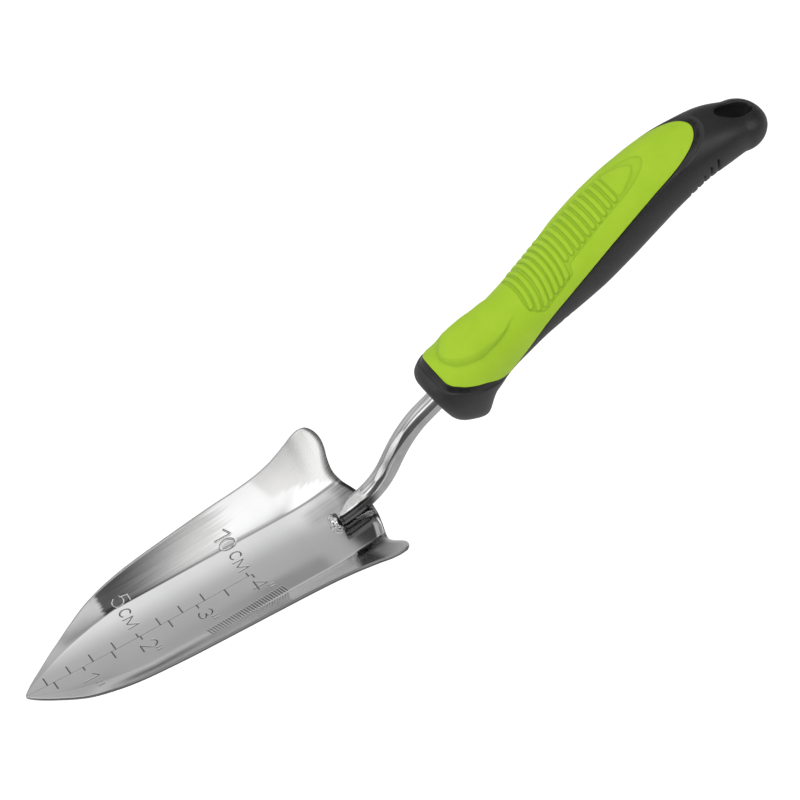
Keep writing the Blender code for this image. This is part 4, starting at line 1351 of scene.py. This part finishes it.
    # Painted shade on the floor to the +Y side of the tang, in streaks towards the heel
    painted_shade_by_tang = net.mul(net.ramp(x, over=(13.0, 13.7), to=(0.0, 0.27)),
                    net.mul(net.ramp(y, over=(0.30, 0.80)), net.ramp(y, over=(1.55, 1.20))))
    slanted = net.sub(x, net.mul(y, 0.10))
    painted_shade_at_heel = net.mul(net.ramp(slanted, over=(14.22, 15.05), to=(0.0, 0.60)),
                   net.mul(net.ramp(y, over=(0.35, 0.60)), net.ramp(wall, over=(0.02, -0.08))))
    colour = net.tint(colour, (0.045, 0.044, 0.042), where=net.most(painted_shade_by_tang, painted_shade_at_heel),
                      strength=net.ramp(floor_line, over=(0.30, 0.70), to=(0.72, 1.18)))
    # Engraving: painted shade in the grooves on the floor, painted highlight in them on the +Y wall
    painted_groove_glint = net.mul(net.ramp(wall, over=(-0.10, 0.02)), net.ramp(y, over=(0.0, 0.2)))
    groove_shade_and_glint = net.tint((0.07, 0.07, 0.072), (0.90, 0.90, 0.90), where=painted_groove_glint)
    colour = net.tint(colour, groove_shade_and_glint, where=cut, strength=net.blend(painted_groove_glint, off=0.82, on=1.0))
    rough = net.blend(net.mul(cut, 0.9), off=rough, on=0.46)
    # Painted shade on the rim, darkest on the -Y side
    rim = net.attribute("rim")
    shaded_rim_side = net.ramp(net.add(y, net.mul(flare, -0.8)), over=(0.6, -0.6))
    colour = net.tint(colour, (0.12, 0.12, 0.122), where=net.mul(rim, shaded_rim_side), strength=0.76)
    rough = net.blend(rim, off=rough, on=0.30)

    height = net.add(net.swing(fine, by=net.blend(satin, off=0.05, on=0.9)),
                     net.swing(floor_line, by=0.10))
    slope = net.add(lean, net.mul(flare, 2 * curve))
    tangent = net.join(1.0, net.mul(slope, net.math("SIGN", y)), net.mul(slope, 0.7))
    net.surface(Base_Color=colour, Metallic=1.0, Roughness=rough,
                Normal=net.bump(height, strength=0.55, distance=0.00003),
                Anisotropic=net.blend(satin, off=0.25, on=0.65), Tangent=tangent)
    return material


def rod_material():
    material, net = new_material("tang_polished")
    place = net.centimetres()
    cloud = net.noise(place, scale=1.3, detail=4.0, rough=0.55)
    speck = net.ramp(net.voronoi(place, scale=3.1), over=(0.03, 0.06), to=(1.0, 0.0))
    fine = net.noise(net.stretch(place, by=(9.0, 60.0, 9.0)), scale=1.0, detail=3.0, rough=0.6)
    colour = net.tint((0.68, 0.68, 0.685), (0.58, 0.58, 0.59),
                      where=net.ramp(cloud, over=(0.4, 0.75)))
    colour = net.tint(colour, (0.12, 0.12, 0.12), where=speck, strength=0.5)
    rough = net.ramp(cloud, over=(0.3, 0.8), to=(0.07, 0.14))
    # Painted dark reflection on the lower flank of the tang at the weld
    x, _, z = net.xyz(place)
    rise = net.sub(x, HEEL_START)
    axis = net.add(net.mul(rise, rise, HEEL_LIFT), TANG_R)
    above = net.sub(z, net.add(axis, net.swing(cloud, by=0.25)))
    painted_dark_flank = net.mul(net.ramp(x, over=(16.1, 15.55)), net.ramp(above, over=(0.37, 0.31)))
    colour = net.tint(colour, (0.03, 0.029, 0.029), where=painted_dark_flank, strength=0.9)
    # The flat at the welded end: rougher, with its own grain
    ground = net.ramp(net.attribute("mark"), over=(0.35, 0.65))
    grain = net.noise(net.stretch(place, by=(14.0, 50.0, 14.0)), scale=1.0, detail=5.0, rough=0.65)
    worn = net.noise(place, scale=5.0, detail=3.0, rough=0.6)
    bare = net.tint((0.84, 0.835, 0.825), (0.72, 0.715, 0.71),
                    where=net.ramp(worn, over=(0.35, 0.7)))
    colour = net.tint(colour, bare, where=ground)
    rough = net.blend(ground, off=rough, on=net.ramp(grain, over=(0.3, 0.7), to=(0.26, 0.42)))
    height = net.blend(ground, off=net.add(net.mul(fine, 0.25), net.mul(cloud, 1.3)),
                       on=net.add(net.mul(grain, 2.4), net.mul(worn, 1.6)))
    net.surface(Base_Color=colour, Metallic=1.0, Roughness=rough,
                Normal=net.bump(height, strength=0.25, distance=0.00006))
    return material


def weld_material():
    material, net = new_material("weld_bead_metal")
    place = net.centimetres()
    cloud = net.noise(place, scale=2.0, detail=2.0, rough=0.5)
    lump = net.noise(place, scale=5.0, detail=2.0, rough=0.45)
    x = net.xyz(place)[0]
    colour = net.tint((0.78, 0.775, 0.77), (0.32, 0.31, 0.305),
                      where=net.ramp(cloud, over=(0.52, 0.68)))
    # Painted shade: the beads towards the heel are darker than the blob at the nose.
    colour = net.tint(colour, (0.06, 0.058, 0.057), where=net.ramp(x, over=(14.5, 14.8)),
                      strength=net.ramp(cloud, over=(0.3, 0.7), to=(0.60, 0.85)))
    net.surface(Base_Color=colour, Metallic=1.0,
                Roughness=net.ramp(lump, over=(0.3, 0.7), to=(0.10, 0.18)),
                Normal=net.bump(net.add(lump, net.mul(cloud, 0.6)),
                                strength=0.05, distance=0.00010))
    return material


def plastic_material():
    material, net = new_material("black_polypropylene")
    place = net.centimetres()
    spark = net.noise(place, scale=42.0, detail=3.0, rough=0.62)
    pit = net.voronoi(place, scale=62.0)
    broad = net.noise(place, scale=0.9, detail=3.0, rough=0.5)
    dust = net.ramp(net.voronoi(place, scale=2.4), over=(0.018, 0.034), to=(1.0, 0.0))
    gloss = net.attribute("mark")
    texture = net.noise(place, scale=13.0, detail=3.0, rough=0.65)
    colour = net.tint((0.0065, 0.0065, 0.0070), (0.0115, 0.0115, 0.0125),
                      where=net.ramp(spark, over=(0.35, 0.7)))
    colour = net.tint(colour, (0.026, 0.026, 0.029), where=net.ramp(texture, over=(0.48, 0.70)),
                      strength=0.60)
    colour = net.tint(colour, (0.22, 0.22, 0.22), where=dust, strength=0.5)
    colour = net.tint(colour, (0.006, 0.006, 0.0065), where=gloss, strength=0.8)
    rough = net.add(net.ramp(broad, over=(0.3, 0.7), to=(0.40, 0.47)), net.swing(spark, by=0.10))
    height = net.add(net.add(spark, net.mul(pit, 0.5)), net.mul(texture, 1.5))
    net.surface(Base_Color=colour, Roughness=net.blend(gloss, off=rough, on=0.24),
                Normal=net.bump(height, strength=net.blend(gloss, off=0.34, on=0.06),
                                distance=0.00010),
                Specular_IOR_Level=net.blend(gloss, off=0.80, on=0.42))
    return material


def grip_material():
    material, net = new_material("green_soft_rubber")
    place = net.centimetres()
    grain = net.noise(place, scale=48.0, detail=3.0, rough=0.6)
    broad = net.noise(place, scale=0.8, detail=3.0, rough=0.5)
    flow = net.noise(place, scale=3.5, detail=4.0, rough=0.6)
    scratch = net.noise(net.stretch(place, by=(2.2, 9.0, 2.2)), scale=1.6, detail=5.0,
                        rough=0.7, distortion=0.8)
    patch = net.noise(place, scale=0.9, detail=2.0, rough=0.5)
    scuff = net.mul(net.ramp(scratch, over=(0.70, 0.76)), net.ramp(patch, over=(0.52, 0.66)))
    colour = net.tint((0.385, 0.615, 0.022), (0.415, 0.640, 0.030),
                      where=net.ramp(broad, over=(0.35, 0.68)))
    colour = net.tint(colour, (0.360, 0.585, 0.020), where=net.ramp(flow, over=(0.4, 0.75)),
                      strength=0.25)
    colour = net.tint(colour, (0.66, 0.78, 0.28), where=scuff, strength=0.30)
    # Painted shade in the hollows: the bottom of the grooves, the edges of the ribs and the pad's
    # step
    colour = net.tint(colour, (0.205, 0.365, 0.016), where=net.attribute("mark"), strength=0.52)
    rough = net.add(net.ramp(broad, over=(0.3, 0.7), to=(0.60, 0.68)), net.swing(grain, by=0.12))
    net.surface(Base_Color=colour, Roughness=rough,
                Normal=net.bump(net.add(grain, net.mul(flow, 0.35)),
                                strength=0.22, distance=0.00010),
                Specular_IOR_Level=0.36, Sheen_Weight=0.03, Sheen_Roughness=0.5,
                Subsurface_Weight=0.06, Subsurface_Radius=(0.9, 1.0, 0.3),
                Subsurface_Scale=0.002)
    return material


# ------------------------------------------------------------------ pieces
blade_steel = blade_material()
rod_steel = rod_material()
weld_steel = weld_material()
black, green = plastic_material(), grip_material()

settle(make_blade(blade_steel), "blade")
settle(make_tang(rod_steel), "neck")
settle(make_blob(weld_steel), "weld_front")
for side, sign in (("left", 1), ("right", -1)):
    bead = make_bead(f"weld_bead_{side}", weld_steel, sign, seed=4.0 + sign)
    settle(bead, f"weld_{side}")
settle(make_core(black), "handle_core")
settle(make_grip(green), "soft_grip")

# ---------------------------------------------------------- stage, in metres
scene = bpy.context.scene
FLOOR_HALF, FLOOR_Z, FLOOR_CELLS = 6.0, -0.45, 24


def floor_material():
    material, net = new_material("floor_paper")
    place = net.node("ShaderNodeTexCoord").outputs["Object"]
    tone = net.noise(place, scale=3.0, detail=2.0, rough=0.5)
    colour = net.tint((0.86, 0.86, 0.86), (0.90, 0.90, 0.90), where=tone)
    diffuse = net.node("ShaderNodeBsdfDiffuse", {"Color": colour})
    glow = net.node("ShaderNodeEmission", {"Strength": 0.48})
    paper = net.node("ShaderNodeAddShader", {0: diffuse.outputs[0], 1: glow.outputs[0]})
    # In reflections the paper is a dim grey, as a far, unlit floor would be.
    dim = net.node("ShaderNodeEmission", {"Strength": 0.52})
    glossy = net.node("ShaderNodeLightPath").outputs["Is Glossy Ray"]
    choose = net.node("ShaderNodeMixShader",
                      {0: glossy, 1: paper.outputs[0], 2: dim.outputs[0]})
    net.node("ShaderNodeOutputMaterial", {0: choose.outputs[0]})
    material.cycles.emission_sampling = "NONE"
    return material


def make_floor():
    bm = bmesh.new()
    steps = [FLOOR_HALF * (i / FLOOR_CELLS - 0.5) * 2 for i in range(FLOOR_CELLS + 1)]
    grid = [[bm.verts.new((x, y, FLOOR_Z)) for y in steps] for x in steps]
    for i in range(FLOOR_CELLS):
        for j in range(FLOOR_CELLS):
            bm.faces.new((grid[i][j], grid[i + 1][j], grid[i + 1][j + 1], grid[i][j + 1]))
    mesh = bpy.data.meshes.new("studio_floor")
    bm.to_mesh(mesh)
    bm.free()
    floor = bpy.data.objects.new("studio_floor", mesh)
    scene.collection.objects.link(floor)
    mesh.materials.append(floor_material())


# Brightness of the studio: degrees round the X axis from straight up, + to +Y; level.
# The near side (-Y), from the directions towards the tip to those towards the tail
NEAR_TIPMOST = ((-180, .40), (-118, .36), (-104, .14), (-60, .12), (-40, .18), (-32, .80),
                (-26, 1.70), (-16, 1.40), (-10, .52), (8, .52), (180, .52))
NEAR_TIP = ((-180, .40), (-118, .34), (-100, .12), (-60, .16), (-52, .24), (-45, 1.30),
            (-38, 1.60), (-17, 1.60), (-12, .52), (8, .52), (180, .52))
NEAR_SQUARE = ((-180, .40), (-112, .34), (-92, .16), (-64, .20), (-52, .60), (-44, 1.15),
               (-36, 1.35), (-19, 1.25), (-14, .50), (-11, .52), (8, .52), (180, .52))
NEAR_TAIL = ((-180, .40), (-112, .36), (-92, .25), (-68, .55), (-56, 1.25), (-40, 1.50),
             (-36, 1.45), (-32, .62), (-16, .50), (8, .52), (180, .52))
# The far side (+Y): a light band, then greys
FAR_BAND = ((-180, .52), (7, .52), (12, .98), (24, 1.10), (28, 1.04), (31, .82), (35, .60))
FAR_END = ((92, .60), (120, .45), (180, .40))
FAR_TIP = FAR_BAND + ((41, .56), (46, .56), (56, .62), (75, .72)) + FAR_END
FAR_TAIL = FAR_BAND + ((43.5, .57), (45.5, .37), (52, .37), (62, .62), (75, .70)) + FAR_END


def make_world():
    """Studio seen by reflections."""
    world = bpy.data.worlds.new("studio")
    scene.world = world
    net = Net(world)
    x, y, z = net.xyz(net.node("ShaderNodeTexCoord").outputs["Generated"])
    angle = net.mul(net.math("ARCTAN2", y, z), 180 / pi)
    near = net.blend(net.ramp(x, over=(0.145, 0.172)),
                     off=net.profile(angle, NEAR_TIP), on=net.profile(angle, NEAR_SQUARE))
    near = net.blend(net.ramp(x, over=(-0.42, -0.30)),
                     off=net.profile(angle, NEAR_TIPMOST), on=near)
    near = net.blend(net.ramp(x, over=(0.188, 0.228)),
                     off=near, on=net.profile(angle, NEAR_TAIL))
    far = net.blend(net.ramp(x, over=(0.180, 0.200)),
                    off=net.profile(angle, FAR_TIP), on=net.profile(angle, FAR_TAIL))
    # A black flag on the far side, seen by the rising heel
    flag = net.mul(net.ramp(x, over=(0.0, 0.05), to=(1.0, 0.0)), net.ramp(x, over=(-0.36, -0.25)))
    shadow = net.most(net.ramp(angle, over=(33.0, 41.0), to=(0.85, 0.10)),
                      net.ramp(angle, over=(60.0, 72.0)))
    far = net.mul(far, net.blend(flag, off=1.0, on=shadow))
    level = net.blend(net.ramp(angle, over=(-6.0, 2.0)), off=near, on=far)
    # Flags at both ends
    level = net.mul(level, net.mul(net.ramp(x, over=(0.28, 0.42), to=(1.0, 0.20)),
                                   net.ramp(x, over=(-0.95, -0.60), to=(0.55, 1.0))))
    # Strip on the tip's side for the long highlights of rod and handle
    strip = net.mul(net.mul(net.ramp(x, over=(-1.02, -0.96)),
                            net.ramp(x, over=(-0.87, -0.85), to=(1.0, 0.0))),
                    net.ramp(z, over=(-0.05, 0.15)))
    level = net.add(level, net.mul(strip, 0.8))
    # A little dimmer below the horizon
    level = net.mul(level, net.ramp(z, over=(-0.05, 0.10), to=(0.80, 1.0)))
    seen = net.node("ShaderNodeLightPath").outputs["Is Camera Ray"]
    background = net.node("ShaderNodeBackground", {
        "Color": (1.0, 1.0, 1.0), "Strength": net.blend(seen, off=level, on=1.0)})
    net.node("ShaderNodeOutputWorld", {0: background.outputs[0]})


def make_light(name, place, target, size, power):
    data = bpy.data.lights.new(name, "AREA")
    data.shape = "RECTANGLE"
    data.size = data.size_y = size
    data.energy = power
    lamp = bpy.data.objects.new(name, data)
    lamp.location = place
    way = Vector(target) - Vector(place)
    lamp.rotation_euler = way.to_track_quat("-Z", "Y").to_euler()
    lamp.visible_camera = False
    scene.collection.objects.link(lamp)
    return lamp


make_floor()
make_world()
MIDDLE = (0.0, 0.0, 0.05)
make_light("fill_softbox", place=(1.1, -0.9, 0.9), target=MIDDLE, size=0.5, power=2.0)
key = make_light("key_softbox", place=(-0.25, -0.25, 1.4), target=MIDDLE, size=0.5, power=6.0)
key.visible_glossy = False

# ------------------------------------------------------------------ camera
# Directions of the view, and the camera's place in centimetres from the blade's tip
VIEW_RIGHT = Vector((0.84422995, -0.52408623, -0.11229166))
VIEW_DOWN = Vector((-0.45689393, -0.59415354, -0.66198905))
VIEW_AHEAD = Vector((0.28022086, 0.61017636, -0.74105404))
CAMERA_AT = np.array([-14.38227622, -69.97625447, 90.1240344])

lens = bpy.data.cameras.new("camera")
lens.sensor_width = 36.0
lens.lens = 132.778
lens.clip_start, lens.clip_end = 0.05, 30.0
camera = bpy.data.objects.new("camera", lens)
turn = Matrix((VIEW_RIGHT, -VIEW_DOWN, -VIEW_AHEAD)).transposed().to_4x4()
camera.matrix_world = Matrix.Translation(Vector(CAMERA_AT * CM + SHIFT)) @ turn
scene.collection.objects.link(camera)
scene.camera = camera

scene.view_settings.view_transform = "Standard"
scene.view_settings.look = "None"
scene.view_settings.exposure = 0.0
scene.view_settings.gamma = 1.0

bpy.context.view_layer.update()
